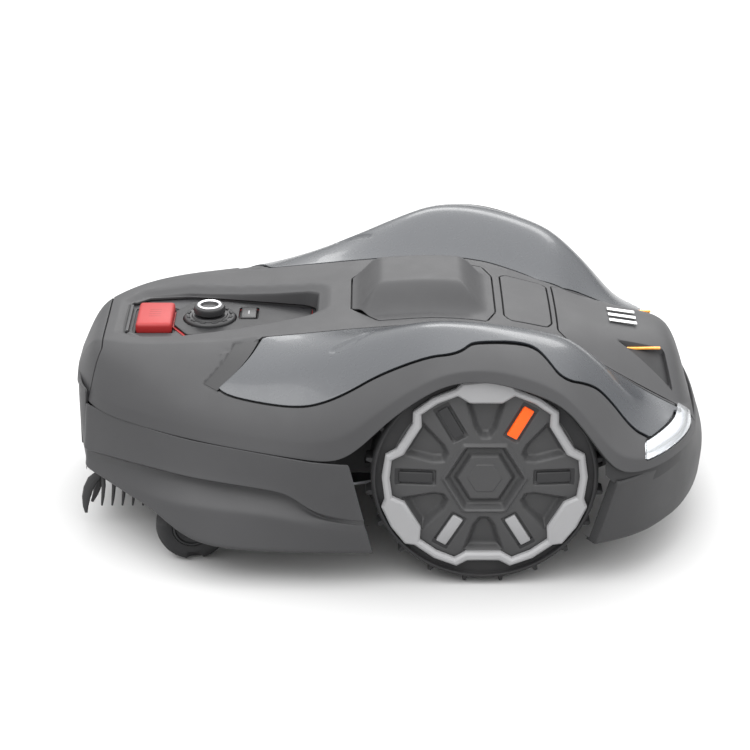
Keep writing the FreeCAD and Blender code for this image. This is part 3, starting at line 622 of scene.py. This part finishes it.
def rollEdge(bm, field, steps):
    # folds the skin down inside an opening; each step is a height and a share towards its middle
    corners = [v for v, value in zip(list(bm.verts), field(cornerPlaces(bm))) if abs(value) < 0.4]
    edge = [e for e in {e for v in corners for e in v.link_edges} if e.is_boundary
            and e.verts[0] in corners and e.verts[1] in corners]
    middle = sum((v.co for v in corners), Vector()) / len(corners)
    for floor, fall, share in steps:
        grown = bmesh.ops.extrude_edge_only(bm, edges=edge)["geom"]
        edge = [item for item in grown if isinstance(item, bmesh.types.BMEdge) and item.is_boundary]
        for corner in (item for item in grown if isinstance(item, bmesh.types.BMVert)):
            corner.co.z = max(corner.co.z - fall * mm, floor * mm)
            corner.co.x += (middle.x - corner.co.x) * share
            corner.co.y -= corner.co.y * share


def pushSkin(bm, distance):
    bm.normal_update()
    for corner, normal in [(v, v.normal.copy()) for v in bm.verts]:
        corner.co += normal * distance * mm


def coverPiece(bm, name, look, node, wall=2.6, edge=0.5):
    piece = toPiece(bm, name, look, "cover", [node])
    thicken(piece, wall * mm, edge * mm)


def makeLiner():
    # a dark inner shell behind the seams
    bm = coverSkin(2)
    trim(bm, lambda place: consoleField(place) - 7, 0.0, False)
    pushSkin(bm, -4.6)
    low = [e for e in bm.edges if e.is_boundary and max(v.co.z for v in e.verts) < 147 * mm]
    grown = bmesh.ops.extrude_edge_only(bm, edges=low)["geom"]
    for corner in (item for item in grown if isinstance(item, bmesh.types.BMVert)):
        corner.co.z -= 16 * mm
    toPiece(bm, "coverLiner", "chassisBlack", "cover", ())


# name, outline, fineness, wall, edge rounding and the CAD piece it stands for
coverPlates = (("antennaBox", antennaField, 4, 2.4, 0.5, "antenna_box_cover"),
               ("badgePlate", badgeField, 4, 2.4, 0.5, "badge_plate"),
               ("noseCover", noseField, 4, 2.6, 0.4, "nose_cover"),
               ("tailUpper", tailField, 3, 2.6, 0.5, "tail_piece"))


def makeCover():
    skin = coverSkin(3)
    relief(skin, flatPlan(closedPlan(consoleHalf), 15.0), 4.6, 13.0)
    for field in (antennaField, badgeField, noseField, tailField, panelField, mirroredField(panelField),
                  lampField):
        trim(skin, field, seamGap, False)
    relief(skin, grooveField, 2.4, 1.4)
    trim(skin, consoleField, 0.0, False)
    rollEdge(skin, consoleField, ((203.0, 0.8, 0.012), (203.0, 2.5, 0.012), (203.0, 40, 0.02)))
    coverPiece(skin, "topCover", "bodyGrey", "top_cover")
    strip = coverSkin(4)
    trim(strip, grooveField, 1.6, True)
    pushSkin(strip, -1.3)
    coverPiece(strip, "grooveStrip", "stripGrey", "top_cover", 1.0, 0.3)
    for name, field in (("left", panelField), ("right", mirroredField(panelField))):
        panel = coverSkin(3)
        trim(panel, field, seamGap, True)
        relief(panel, evenly(flatPlan(dentOutline, 1.0)), 2.6, 4.0)
        coverPiece(panel, "glossPanel_" + name, "panelGloss", "side_panel_" + name)
    for name, field, levels, wall, edge, node in coverPlates:
        plate = coverSkin(levels)
        trim(plate, field, seamGap, True)
        if name == "antennaBox":
            raiseSkin(plate, flatPlan([(-22, -46), (82, -46), (82, 46), (-22, 46)], 4.0), 25.0, 34.0)
        if name == "noseCover":
            relief(plate, evenly(flatPlan(ductOutline)), 14.0, 2.2,
                   lambda place: 0.25 + 0.75 * np.clip((94 - np.abs(place[:, 1])) / 44, 0, 1))
        coverPiece(plate, name, "bodyGrey", node, wall, edge)
    for name, look, depth, node in (("headlightHousing", "reflectorPaintedBands", -2.2, "headlight_housings"),
                                    ("headlightLens", "lampLens", 0.2, "headlight_lenses")):
        lamp = coverSkin(4)
        trim(lamp, lampField, 0.5, True)
        pushSkin(lamp, depth)
        coverPiece(lamp, name, look, node, 1.6, 0.4)
    makeLiner()


makeCover()
print("cover ready")


# stations of the left skirt: seam, waist and hem in plan, then crease, scoop, lip and hem heights
skirtStations = [
    ((-44, 233), (-33, 234), (-20, 235.8), 80, 0, 70, 40),
    ((-47, 234), (-36, 235), (-23, 236.6), 80, 0.3, 70, 40),
    ((-58, 233), (-50, 235), (-42, 236.6), 81, 1.5, 72, 40),
    ((-84, 229), (-78, 232), (-72, 236.6), 86, 5, 75, 40),
    ((-97, 224), (-93, 230), (-90, 236), 97, 9, 79, 40),
    ((-110, 219), (-108, 227), (-108, 235), 105.5, 11, 82, 40),
    ((-130, 211.5), (-130, 221), (-130, 233), 106.5, 11, 84, 40),
    ((-162, 199), (-162, 212), (-168, 229.5), 107, 11, 85, 40),
    ((-202, 184), (-202, 202), (-205, 219.5), 108, 10, 85, 43),
    ((-227, 170), (-227, 189), (-231, 205), 108, 9, 83, 53),
    ((-250, 156), (-250, 172), (-253, 181), 107, 7, 80, 62),
    ((-275, 138), (-275, 151), (-276, 154), 104, 5, 79, 63),
    ((-302, 116), (-302, 122), (-303, 122), 99, 2.5, 80, 66),
    ((-317, 102), (-320, 104), (-321, 104), 95, 1, 80, 68),
    ((-322.5, 97), (-325, 98), (-325, 98), 95, 0, 80, 69),
    ((-323, 91.2), (-325.5, 91.2), (-325.5, 91.2), 95, 0, 80, 69),
]


skirtReach = 236.4


def makeSkirt():
    rows = []
    for index, (seam, waist, hem, crease, scoop, lip, hemHeight) in enumerate(skirtStations):
        before = skirtStations[max(index - 1, 0)][1]
        after = skirtStations[min(index + 1, len(skirtStations) - 1)][1]
        run = Vector((after[0] - before[0], after[1] - before[1]))
        out = Vector((run.y, -run.x)).normalized()
        top = 140.4 - 0.0145 * (seam[0] + 42)
        columns = [(top, -0.6), (134, 0.6), (crease + 7, 1.0), (crease, 2.0), (crease - 2.6, -0.7 * scoop),
                   (crease - 8, -1.25 * scoop), (lip + 4, -0.5 * scoop), (lip - 4, 0.6),
                   (max(lip - 10, hemHeight + 8), 0.6), (hemHeight + 5, 1.0), (hemHeight + 0.8, -1.4),
                   (hemHeight + 0.4, -6)]
        row = []
        for z, offset in columns:
            share = max(139.5 - z, 0) / 47.5
            low, high, part = (seam, waist, share) if share < 1 else (waist, hem, (92 - z) / 52)
            x = low[0] + (high[0] - low[0]) * part + out.x * offset
            y = low[1] + (high[1] - low[1]) * part + out.y * offset
            row.append(Vector((x, min(y, skirtReach), z)) * mm)
        rows.append(row)
    for side in ("left", "right"):
        bm = subdivided(loftCage(rows, (3, 9), (), 0.75), 3)
        faceOutwards(bm, Vector((-150, 0, 90)) * mm)
        if side == "right":
            mirrorAcross(bm)
        coverPiece(bm, "bodySkirt_" + side, "bodyGrey", "body_skirt", edge=0.4)


# the bumper's left half from the wheel arch to the middle: top, bulge and hem in plan
bumperHeights = (121, 84, 48.4)
bumperStations = [
    ((220, 220), (209, 223), (199, 221)),
    ((226.8, 231), (216.3, 234), (206, 232)),
    ((233, 229), (223, 232), (213, 230.5)),
    ((250, 217), (246, 219), (241, 217)),
    ((270, 198), (270, 198), (264, 200)),
    ((291, 165), (292, 168), (281, 179)),
    ((311, 133), (312, 134), (301, 153)),
    ((322, 90), (330, 90), (323, 100)),
    ((327, 40), (338, 40), (336, 38)),
    ((328, 0), (340, 0), (340, 0)),
]


def makeBumper():
    half = []
    top, bulge, hem = bumperHeights
    for index, (high, middle, low) in enumerate(bumperStations):
        before = bumperStations[max(index - 1, 1)][1]
        after = bumperStations[min(max(index + 1, 2), len(bumperStations) - 1)][1]
        run = Vector((after[0] - before[0], after[1] - before[1]))
        out = Vector((-run.y, run.x)).normalized() * (1 if run.y < 0 else -1)
        row = []
        for z, offset in ((top, -1.2), (top - 3, 0), (104, 0.3), (bulge, 0), (66, 0), (hem + 5, 0),
                          (hem + 0.6, -1.5), (hem, -7)):
            share = (top - z) / (top - bulge)
            a, b, part = (high, middle, share) if share < 1 else (middle, low, (bulge - z) / (bulge - hem))
            x = a[0] + (b[0] - a[0]) * part - abs(out.x) * abs(offset)
            y = a[1] + (b[1] - a[1]) * part - abs(out.y) * abs(offset) * (1 if a[1] else 0)
            row.append(Vector((x, y, z)) * mm)
        half.append(row)
    mirror = [[Vector((p.x, -p.y, p.z)) for p in row] for row in reversed(half[:-1])]
    bm = subdivided(loftCage(half + mirror, (1, 5), (1, len(half) * 2 - 3), 0.75), 3)
    faceOutwards(bm, Vector((200, 0, 90)) * mm)
    coverPiece(bm, "frontBumper", "bumperGrey", "front_bumper", edge=0.4)


tailShape = {"levels": [(158, 336.6, 1.0), (146, 337, 1.0), (128, 337, 0.9), (104, 336, 0.75), (84, 334, 0.6),
                        (70, 331, 0.5), (64, 328, 0.4)],
             "corner": [(14, 90.2), (10.5, 84), (5.8, 72), (2, 52), (0.3, 30)],
             "ribs": (-60, -48, -36, -24, -12, 0, 12, 24, 36, 48, 60)}


def makeTail():
    rows = []
    for z, reach, wrap in tailShape["levels"]:
        columns = [(back * wrap - reach, y) for back, y in tailShape["corner"]]
        row = columns + [(-reach, 0)] + [(x, -y) for x, y in reversed(columns)]
        rows.append([Vector((x, y, z)) * mm for x, y in row])
    bm = subdivided(loftCage(rows), 3)
    faceOutwards(bm, Vector((-250, 0, 110)) * mm)
    coverPiece(bm, "tailPiece", "tailGrey", "tail_piece", edge=0.4)
    ribs = bmesh.new()
    for y in tailShape["ribs"]:
        roundedBox(ribs, (-334.6 + 0.0011 * y * y, y, 104), (5.5, 3.6, 44), 1.2)
    toPiece(ribs, "tailRibs", "bumperGrey", "cover", ())


clawShape = {"path": [(-311, 72, 4.6), (-312, 56, 4.4), (-315, 42, 3.8), (-319, 31, 3.0),
                      (-323.2, 21.5, 1.6)],
             "tusk": [(-311, 70, 4.2), (-312, 61, 4.8), (-320, 53, 6.0), (-325, 43, 5.6), (-327.6, 33, 4.8),
                      (-328.8, 22, 3.2), (-328.4, 14, 1.5)],
             "pitch": 11.0}


def taperedBar(bm, path, flat=1.0, sides=10):
    # a bar along X and Z through (x, height, radius) points, closed at both ends
    rings = []
    for index, (x, z, radius) in enumerate(path):
        before = path[max(index - 1, 0)]
        after = path[min(index + 1, len(path) - 1)]
        heading = Vector((after[0] - before[0], 0, after[1] - before[1])).normalized()
        ring = bmesh.ops.create_circle(bm, cap_ends=False, radius=radius * mm, segments=sides)["verts"]
        bmesh.ops.scale(bm, vec=(1, flat, 1), verts=ring)
        turn = Vector((0, 0, 1)).rotation_difference(heading).to_matrix()
        bmesh.ops.rotate(bm, cent=(0, 0, 0), matrix=turn, verts=ring)
        shift(bm, ring, x, 0, z)
        rings.append(list({e for v in ring for e in v.link_edges}))
    for pair in zip(rings, rings[1:]):
        bmesh.ops.bridge_loops(bm, edges=pair[0] + pair[1])
    for ring in (rings[0], rings[-1]):
        bmesh.ops.contextual_create(bm, geom=ring)
    return list({v for ring in rings for e in ring for v in e.verts})


def makeComb():
    bm = bmesh.new()
    roundedBox(bm, (-310.5, 0, 70), (8, 190, 7), 1.6)
    for side in (1, -1):
        roundedBox(bm, (-286, side * 95, 70), (46, 5, 7), 1.6)
        roundedBox(bm, (-303, side * 55, 82), (13, 9, 24), 1.6)
    for i in range(-8, 9):
        made = taperedBar(bm, clawShape["tusk" if abs(i) == 8 else "path"], 0.5)
        shift(bm, made, 0, i * (clawShape["pitch"] + 0.6), 0)
    for side in (1, -1):
        for i in range(5):
            x = -308 + i * clawShape["pitch"]
            made = taperedBar(bm, [(x, 72, 2.4), (x, 48, 2.3), (x - 1.5, 34, 1.9), (x - 3, 24, 1.1)], 1.0)
            shift(bm, made, 0, side * 95, 0)
    bmesh.ops.recalc_face_normals(bm, faces=bm.faces)
    piece = toPiece(bm, "fingerComb", "bumperGrey", "chassis", ["finger_comb"])
    softenEdges(piece, 0.2 * mm, 1, 60)


wheelPlace = {"x": 92.6, "inner": 171.0, "z": 122.0}
outward = {"left": Matrix(((-1, 0, 0), (0, 0, 1), (0, 1, 0))),
           "right": Matrix(((1, 0, 0), (0, 0, -1), (0, 1, 0)))}


def setOnAxle(bm, side, x, y, z):
    # a wheel is made with its axle along Z and its outer face up
    sign = 1 if side == "left" else -1
    bmesh.ops.rotate(bm, cent=(0, 0, 0), matrix=outward[side], verts=bm.verts)
    shift(bm, bm.verts, x, sign * y, z)


def setOnWheel(bm, side):
    setOnAxle(bm, side, wheelPlace["x"], wheelPlace["inner"], wheelPlace["z"])


def around(points, count, start=0.0):
    # the distance to an outline repeated about the axle
    field = outlineDistance(points, 1.2)
    step = 2 * math.pi / count

    def distance(place):
        turn = np.arctan2(place[:, 1], place[:, 0]) - math.radians(start)
        turn = (turn + step / 2) % step - step / 2
        reach = np.hypot(place[:, 0], place[:, 1])
        return field(np.stack((reach * np.cos(turn), reach * np.sin(turn)), 1))

    return distance


def hexagon(flat, corner=3.0):
    # a hexagon with corners at 0, 60, 120 degrees and a flat half width
    reach = flat / math.cos(math.pi / 6)
    points = [(reach * math.cos(k * math.pi / 3), reach * math.sin(k * math.pi / 3)) for k in range(6)]
    distance = outlineDistance(points, corner)
    return lambda place: distance(place[:, :2])


coverFace = {"radius": 95.8, "rimHeight": 50.2, "spokeHeight": 54.6, "hubHeight": 57.2, "pocketDepth": 9.0,
             "slotDepth": 2.6, "hubDepth": 8.5, "domeRise": 5.2}
pocketOutline = [(44, -5), (53, -11.5), (84.5, -21), (84.5, 21), (53, 11.5), (44, 5)]
slotOutline = [(49.5, -8.2), (90.0, -8.2), (90.0, 8.2), (49.5, 8.2)]


def makeWheelCover(side):
    bm = bmesh.new()
    bmesh.ops.create_grid(bm, x_segments=112, y_segments=112, size=97 * mm)
    trim(bm, lambda place: np.hypot(place[:, 0], place[:, 1]) - coverFace["radius"], 0.0, True)
    for level in (40.0, 90.0):
        scoreOnly(bm, np.hypot(*cornerPlaces(bm)[:, :2].T) - level)
    reach = np.hypot(*cornerPlaces(bm)[:, :2].T)
    rise = np.clip((90 - reach) / 50, 0, 1)
    for corner, share in zip(bm.verts, rise):
        height = coverFace["rimHeight"] + share * (coverFace["spokeHeight"] - coverFace["rimHeight"])
        corner.co.z = height * mm
    relief(bm, around(pocketOutline, 6, 30.0), coverFace["pocketDepth"], 7.5)
    relief(bm, around(slotOutline, 6), coverFace["slotDepth"], 2.2)
    hub = hexagon(36.5)
    relief(bm, hub, coverFace["spokeHeight"] - coverFace["hubHeight"], 3.5)
    relief(bm, hexagon(33.0), coverFace["hubDepth"], 6.0)
    relief(bm, hexagon(23.5, 4.0), -coverFace["domeRise"], 5.0)
    relief(bm, hexagon(13.5, 2.0), -0.8, 1.2)
    faceOutwards(bm, Vector((0, 0, -1)))
    setOnWheel(bm, side)
    piece = toPiece(bm, "wheelCover_" + side, "wheelGrey", "drive_wheel_" + side,
                    ["wheel_cover_" + side, "hub_cap_" + side])
    thicken(piece, 1.6 * mm, 0.3 * mm, 1, 60)


# the two lower slot inserts, at 240 and 300 degrees, get the silver ring colour as a painted reflection of
# the light above them; the other slots keep the dark insert colour
insertLooks = {60: "insertOrange", 240: "ringSilver", 300: "ringSilver", 0: "insertDark", 120: "insertDark",
               180: "insertDark"}
insertPieces = {"insertOrange": ("accentInsert_", "accent_insert_", "insert_orange"),
                "ringSilver": ("silverInserts_", "slot_inserts_", "insert_silver"),
                "insertDark": ("darkInserts_", "slot_inserts_", "wheel_grey")}


def makeInserts(side):
    for look, (name, node, slot) in insertPieces.items():
        bm = bmesh.new()
        for angle in (a for a, which in insertLooks.items() if which == look):
            made = roundedBox(bm, (0, 0, 0), (35, 11.5, 4.6), 1.3, 3)
            spin(bm, made, 4.6, "Y")
            shift(bm, made, 69.5, 0, 50.4)
            spin(bm, made, angle)
        setOnWheel(bm, side)
        toPiece(bm, name + side, look, "drive_wheel_" + side, [node + side])


# the trim ring's outline in one sixth: (radius, degrees from a lobe's middle)
ringOuter = [(109.3, 0), (109.3, 12.8), (103.6, 16.9), (103.9, 31), (103.6, 44.7), (95.0, 50.2), (93.4, 60)]
ringInner = [(83.4, 0), (85.0, 11), (95.6, 17.2), (95.9, 30), (95.9, 42.2), (86.0, 48), (84.2, 60)]


def ringLoop(steps):
    points = []
    for lobe in (90, 210, 330):
        for radius, turn in [(r, -a) for r, a in reversed(steps[:-1])] + steps[1:]:
            angle = math.radians(lobe + turn)
            points.append(Vector((radius * math.cos(angle), radius * math.sin(angle), 50.4)) * mm)
    return points


def makeTrimRing(side):
    bm = bmesh.new()
    loops = []
    for steps in (ringOuter, ringInner):
        line = [bm.verts.new(place) for place in ringLoop(steps)]
        loops.append([bm.edges.new(pair) for pair in zip(line, line[1:] + line[:1])])
    bmesh.ops.bridge_loops(bm, edges=loops[0] + loops[1])
    lifted = bmesh.ops.extrude_face_region(bm, geom=bm.faces[:])["geom"]
    upper = [v for v in lifted if isinstance(v, bmesh.types.BMVert)]
    shift(bm, upper, 0, 0, 7.2)
    bmesh.ops.recalc_face_normals(bm, faces=bm.faces)
    marked = set(upper)
    rim = [e for e in bm.edges if e.verts[0] in marked and e.verts[1] in marked
           and e.calc_face_angle(0) > 1.0]
    bmesh.ops.bevel(bm, geom=rim, offset=2.4 * mm, segments=1, profile=0.5, affect="EDGES", material=-1)
    setOnWheel(bm, side)
    piece = toPiece(bm, "trimRing_" + side, "ringSilver", "drive_wheel_" + side, ["trim_ring_" + side])
    softenEdges(piece, 0.7 * mm, 2, 25)


tyreShape = {"profile": [(92, 3), (98, 1.4), (104, 0.6), (110, 1.2), (113.6, 3.2), (115, 6.5), (115, 27.5),
                         (114.2, 28.5), (115, 29.5), (115, 50.5), (114.2, 53.4), (112.4, 55.4), (110.6, 55.8),
                         (110.2, 54.8), (110.2, 49.9), (92, 49.9), (92, 3)],
             "lugs": 20, "lugRows": ((14.5, -90.0), (40.5, -81.0)), "lugSpan": (7.8, 6.0, 21.0)}


def makeTyre(side):
    bm = turned(tyreShape["profile"], 120)
    length, width, along = tyreShape["lugSpan"]
    step = 360 / tyreShape["lugs"]
    for height, start in tyreShape["lugRows"]:
        made = roundedBox(bm, (0, 0, 0), (length, width, along), 1.1)
        for corner in made:
            if corner.co.x > 0:
                corner.co.y *= 0.66
                corner.co.z *= 0.86
        shift(bm, made, 117.5, 0, height)
        faces = list({f for v in made for f in v.link_faces})
        spin(bm, made, start)
        for copy in range(1, tyreShape["lugs"]):
            fresh = bmesh.ops.duplicate(bm, geom=faces)["geom"]
            corners = [v for v in fresh if isinstance(v, bmesh.types.BMVert)]
            spin(bm, corners, step * copy)
    setOnWheel(bm, side)
    piece = toPiece(bm, "driveTyre_" + side, "tyreRubber", "drive_wheel_" + side, ["drive_tyre_" + side])
    softenEdges(piece, 0.4 * mm, 1, 60)


casterShape = {
    "tyre": [(20.2, -12), (26, -13.6), (31, -13.8), (35.4, -11), (37.4, -6), (37.8, 0), (37.4, 6), (35.4, 11),
             (31, 13.8), (26, 13.6), (20.2, 12), (20.2, -12)],
    "hub": [(4.3, -11.8), (19.9, -11.8), (19.9, 11.6), (18.6, 13.4), (17.2, 13.4), (16.2, 11), (11.4, 9.4),
            (10.6, 11.6), (9.4, 12.2), (8, 11.6), (7.2, 10.4), (4.3, 10.4), (4.3, -11.8)],
    "cap": [(0, 10.8), (0, 13.2), (1.8, 13.4), (3.6, 12.8), (4.0, 11.6), (4.0, 10.8), (0, 10.8)],
    "notches": (35, 155, 275)}


def makeCasters():
    for side in ("left", "right"):
        body = "caster_wheel_" + side
        tyre = turned(casterShape["tyre"], 72)
        place = cornerPlaces(tyre)
        for corner, (x, y, z) in zip(tyre.verts, place):
            for angle in casterShape["notches"]:
                turn = math.radians(angle)
                gap = math.hypot(x - 35.5 * math.cos(turn), y - 35.5 * math.sin(turn))
                if z > 0 and gap < 8.5:
                    corner.co.z -= 6.5 * mm * (1 - (gap / 8.5) ** 4)
        hub = turned(casterShape["hub"], 72)
        cap = turned(casterShape["cap"], 32)
        for bm, name, look, rides, node, slot in (
                (tyre, "casterTyre_", "tyreRubber", body, "caster_tyre_", "tyre_rubber"),
                (hub, "casterHub_", "chassisBlack", body, "caster_hub_", "wheel_black"),
                (cap, "casterCap_", "chrome", body, None, "contact_metal")):
            setOnAxle(bm, side, -209, 163.5, 38)
            piece = toPiece(bm, name + side, look, rides, [node + side] if node else ())
            softenEdges(piece, 0.35 * mm, 2, 40)


stopBar = {"centre": (-254.5, 0, 201.6), "spans": (38.6, 61.6, 13.6), "edge": 4.0}
consoleKey = {"centre": (-154.5, 13, 200.2), "spans": (16.6, 28.6, 6.4), "edge": 1.4}
dialSet = {
    "flange": [(10.4, 198.4), (27.6, 198.4), (27.8, 199.6), (27.8, 203.4), (26.6, 205.2), (24.2, 206.2),
               (22.4, 205.6), (19.6, 205.2), (18.6, 207.0), (12.2, 207.0), (10.4, 206.6), (10.4, 198.4)],
    "knob": [(0, 190), (7.6, 190), (7.6, 202), (9.6, 203), (9.6, 208.4), (15.6, 208.4), (16.9, 209.6),
             (16.9, 214.4), (16.0, 216.6), (14.0, 217.8), (13.2, 217.4), (9.2, 217.2), (8.4, 215.4),
             (0, 214.6)],
    "ring": [(9.6, 216.9), (13.0, 217.0), (13.2, 218.2), (12.4, 218.6), (10.4, 218.5), (9.6, 218.0),
             (9.6, 216.9)],
    "x": -196}
deckPanel = [(-232, 18), (-217, 44), (-178, 44), (-166, 40), (-88, 25)]
deckPlate = [(-286, 42), (-274, 52), (-225, 58), (-84, 32), (-78, 27)]


def platePiece(name, outline, low, high, edge, look, body, replaced=(), holes=(), corner=2.0):
    # a flat plate cut to an outline, with rounded upper edges and cut-outs
    bm = bmesh.new()
    xs = [x for x, y in outline]
    ys = [y for x, y in outline]
    middle = Vector(((min(xs) + max(xs)) / 2, (min(ys) + max(ys)) / 2, high))
    half = max(max(xs) - min(xs), max(ys) - min(ys)) / 2 + 4
    bmesh.ops.create_grid(bm, x_segments=40, y_segments=40, size=half * mm,
                          matrix=Matrix.Translation(middle * mm))
    trim(bm, flatPlan(outline, corner), 0.0, True)
    for hole in holes:
        trim(bm, hole, 0.0, False)
    faceOutwards(bm, Vector((middle.x, middle.y, low - 100)) * mm)
    piece = toPiece(bm, name, look, body, replaced)
    thicken(piece, (high - low) * mm, edge * mm, 2, 50)
    return piece


def roundHole(x, y, radius):
    return lambda place: np.hypot(place[:, 0] - x, place[:, 1] - y) - radius


def boxHole(centre, spans, corner=1.5):
    x, y = centre[:2]
    a, b = spans[0] / 2, spans[1] / 2
    return flatPlan([(x - a, y - b), (x + a, y - b), (x + a, y + b), (x - a, y + b)], corner)


def makeConsole():
    bm = bmesh.new()
    roundedBox(bm, stopBar["centre"], stopBar["spans"], stopBar["edge"], 4)
    toPiece(bm, "stopBar", "stopRed", "stop_bar", ["stop_button"])
    ribs = bmesh.new()
    for offset in (-9, -3, 3, 9):
        roundedBox(ribs, (-254.5, offset, 208.1), (13, 1.6, 0.7), 0.3)
    toPiece(ribs, "stopBarGrip", "stopDark", "stop_bar", ())
    bm = bmesh.new()
    roundedBox(bm, consoleKey["centre"], consoleKey["spans"], consoleKey["edge"], 3)
    toPiece(bm, "startKey", "keyBlack", "start_pad", ["start_key"])
    mark = bmesh.new()
    roundedBox(mark, (-154.5, 13, 203.3), (1.4, 9, 0.3), 0.1)
    toPiece(mark, "startKeyMark", "ringSilver", "start_pad", ())
    for name, profile, look, body, node in (
            ("dialFlange", "flange", "keyBlack", "dial_ring", "dial_flange"),
            ("dialKnob", "knob", "keyBlack", "dial_button", "dial_knob"),
            ("dialRing", "ring", "chrome", "dial_button", None)):
        bm = turned(dialSet[profile], 96)
        shift(bm, bm.verts, dialSet["x"], 0, 0)
        piece = toPiece(bm, name, look, body, [node] if node else ())
        softenEdges(piece, 0.4 * mm, 2, 35)
    grips = bmesh.new()
    for k in range(12):
        turn = math.radians(30 * k + 15)
        place = (dialSet["x"] + 23.4 * math.cos(turn), 23.4 * math.sin(turn), 206.0)
        roundedBox(grips, place, (3.4, 6.4, 1.9), 0.7, 2, 30 * k + 15)
    toPiece(grips, "dialGrips", "chassisBlack", "dial_ring", ())
    holes = [roundHole(dialSet["x"], 0, 28.6), boxHole(consoleKey["centre"], (18, 30))]
    platePiece("deckPanel", closedPlan(deckPanel), 199.4, 202.4, 0.8, "displayGloss", "chassis",
               ["display_window"], holes, 1.5)
    line = [(x * 1.0 - (1.6 if x < -200 else -0.8), y + 1.4) for x, y in deckPanel]
    platePiece("deckRedLine", closedPlan(line), 198.6, 199.9, 0.2, "stopRed", "chassis", (),
               holes, 1.5)
    plate = [boxHole(stopBar["centre"], (40.5, 63.5), 3.0), roundHole(dialSet["x"], 0, 28.6),
             boxHole(consoleKey["centre"], (18, 30))]
    platePiece("consoleDeck", closedPlan(deckPlate), 198.05, 199.0, 0.2, "deckGrey", "chassis", (),
               plate, 2.0)


def makeNoseDetails():
    for side, sign in (("left", 1), ("right", -1)):
        bar = bmesh.new()
        roundedBox(bar, (264, sign * 50.6, 188.6), (42, 2.6, 2.8), 0.9, 3, -sign * 1.5)
        toPiece(bar, "lightBar_" + side, "amberLens", "cover", ["light_bars"])
    marks = bmesh.new()
    for y in (-15, 0, 15):
        roundedBox(marks, (248, y, 204.6), (30, 6, 0.9), 0.3, 2)
    lean = Matrix.Rotation(math.radians(8.5), 3, "Y")
    bmesh.ops.rotate(marks, cent=Vector((248, 0, 204)) * mm, matrix=lean, verts=marks.verts)
    toPiece(marks, "noseMark", "markWhite", "cover", ())


makeSkirt()
makeBumper()
makeTail()
makeComb()
print("lower body ready")
for side in ("left", "right"):
    makeWheelCover(side)
    makeInserts(side)
    makeTrimRing(side)
    makeTyre(side)
makeCasters()
print("wheels ready")
makeConsole()
makeNoseDetails()
print("console and nose ready")


def areaLight(name, place, target, width, height, power):
    lamp = bpy.data.lights.new(name, "AREA")
    lamp.shape = "RECTANGLE"
    lamp.size = width
    lamp.size_y = height
    lamp.energy = power
    holder = bpy.data.objects.new(name, lamp)
    bpy.context.scene.collection.objects.link(holder)
    holder.location = place
    holder.rotation_euler = (Vector(target) - Vector(place)).to_track_quat("-Z", "Y").to_euler()
    return holder


studio = {"floorTone": (0.46, 0.46, 0.46), "worldTone": (1.0, 1.0, 1.0), "horizonLevel": 0.05,
          "zenithLevel": 3.7}


def makeStudio():
    bm = bmesh.new()
    bmesh.ops.create_grid(bm, x_segments=2, y_segments=2, size=14.0)
    mesh = bpy.data.meshes.new("studioFloor")
    bm.to_mesh(mesh)
    bm.free()
    floor = bpy.data.objects.new("studioFloor", mesh)
    floor.location.z = -0.0004
    bpy.context.scene.collection.objects.link(floor)
    paint = Paint("floorPaper")
    tone = studio["floorTone"]
    paint.set("Base Color", paint.mix(paint.noise(3.0), shade(tone, 0.985), tone))
    paint.set("Roughness", 0.75)
    mesh.materials.append(paint.material)
    world = bpy.data.worlds.new("studioWorld")
    world.use_nodes = True
    backdrop = world.node_tree.nodes["Background"]
    backdrop.inputs["Color"].default_value = (*studio["worldTone"], 1.0)
    height = world.node_tree.nodes.new("ShaderNodeSeparateXYZ")
    level = world.node_tree.nodes.new("ShaderNodeMapRange")
    ways = world.node_tree.nodes.new("ShaderNodeTexCoord")
    for name, value in (("From Min", -0.05), ("From Max", 1.0), ("To Min", studio["horizonLevel"]),
                        ("To Max", studio["zenithLevel"])):
        level.inputs[name].default_value = value
    world.node_tree.links.new(ways.outputs["Generated"], height.inputs["Vector"])
    world.node_tree.links.new(height.outputs["Z"], level.inputs["Value"])
    world.node_tree.links.new(level.outputs["Result"], backdrop.inputs["Strength"])
    bpy.context.scene.world = world
    areaLight("keyLight", (-1.2, -1.6, 2.6), (0, 0, 0.1), 2.4, 1.6, 34)
    areaLight("rimLight", (0.6, 2.4, 1.9), (0, 0, 0.15), 2.6, 0.8, 26)
    areaLight("frontLight", (2.6, -0.4, 1.2), (0.1, 0, 0.12), 0.9, 1.8, 16)


cameraSet = {"target": (-0.018, 0.0, 0.1345), "distance": 2.65, "tilt": 24.3, "focal": 116.7}


def makeCamera():
    tilt = math.radians(cameraSet["tilt"])
    target = Vector(cameraSet["target"])
    reach = cameraSet["distance"]
    lens = bpy.data.cameras.new("productCamera")
    lens.lens = cameraSet["focal"]
    lens.sensor_width = 36.0
    holder = bpy.data.objects.new("productCamera", lens)
    holder.location = target + Vector((0, -reach * math.cos(tilt), reach * math.sin(tilt)))
    holder.rotation_euler = (math.pi / 2 - tilt, 0, 0)
    bpy.context.scene.collection.objects.link(holder)
    bpy.context.scene.camera = holder


makeStudio()
makeCamera()
bpy.context.scene.view_settings.view_transform = "Standard"
print("studio ready")
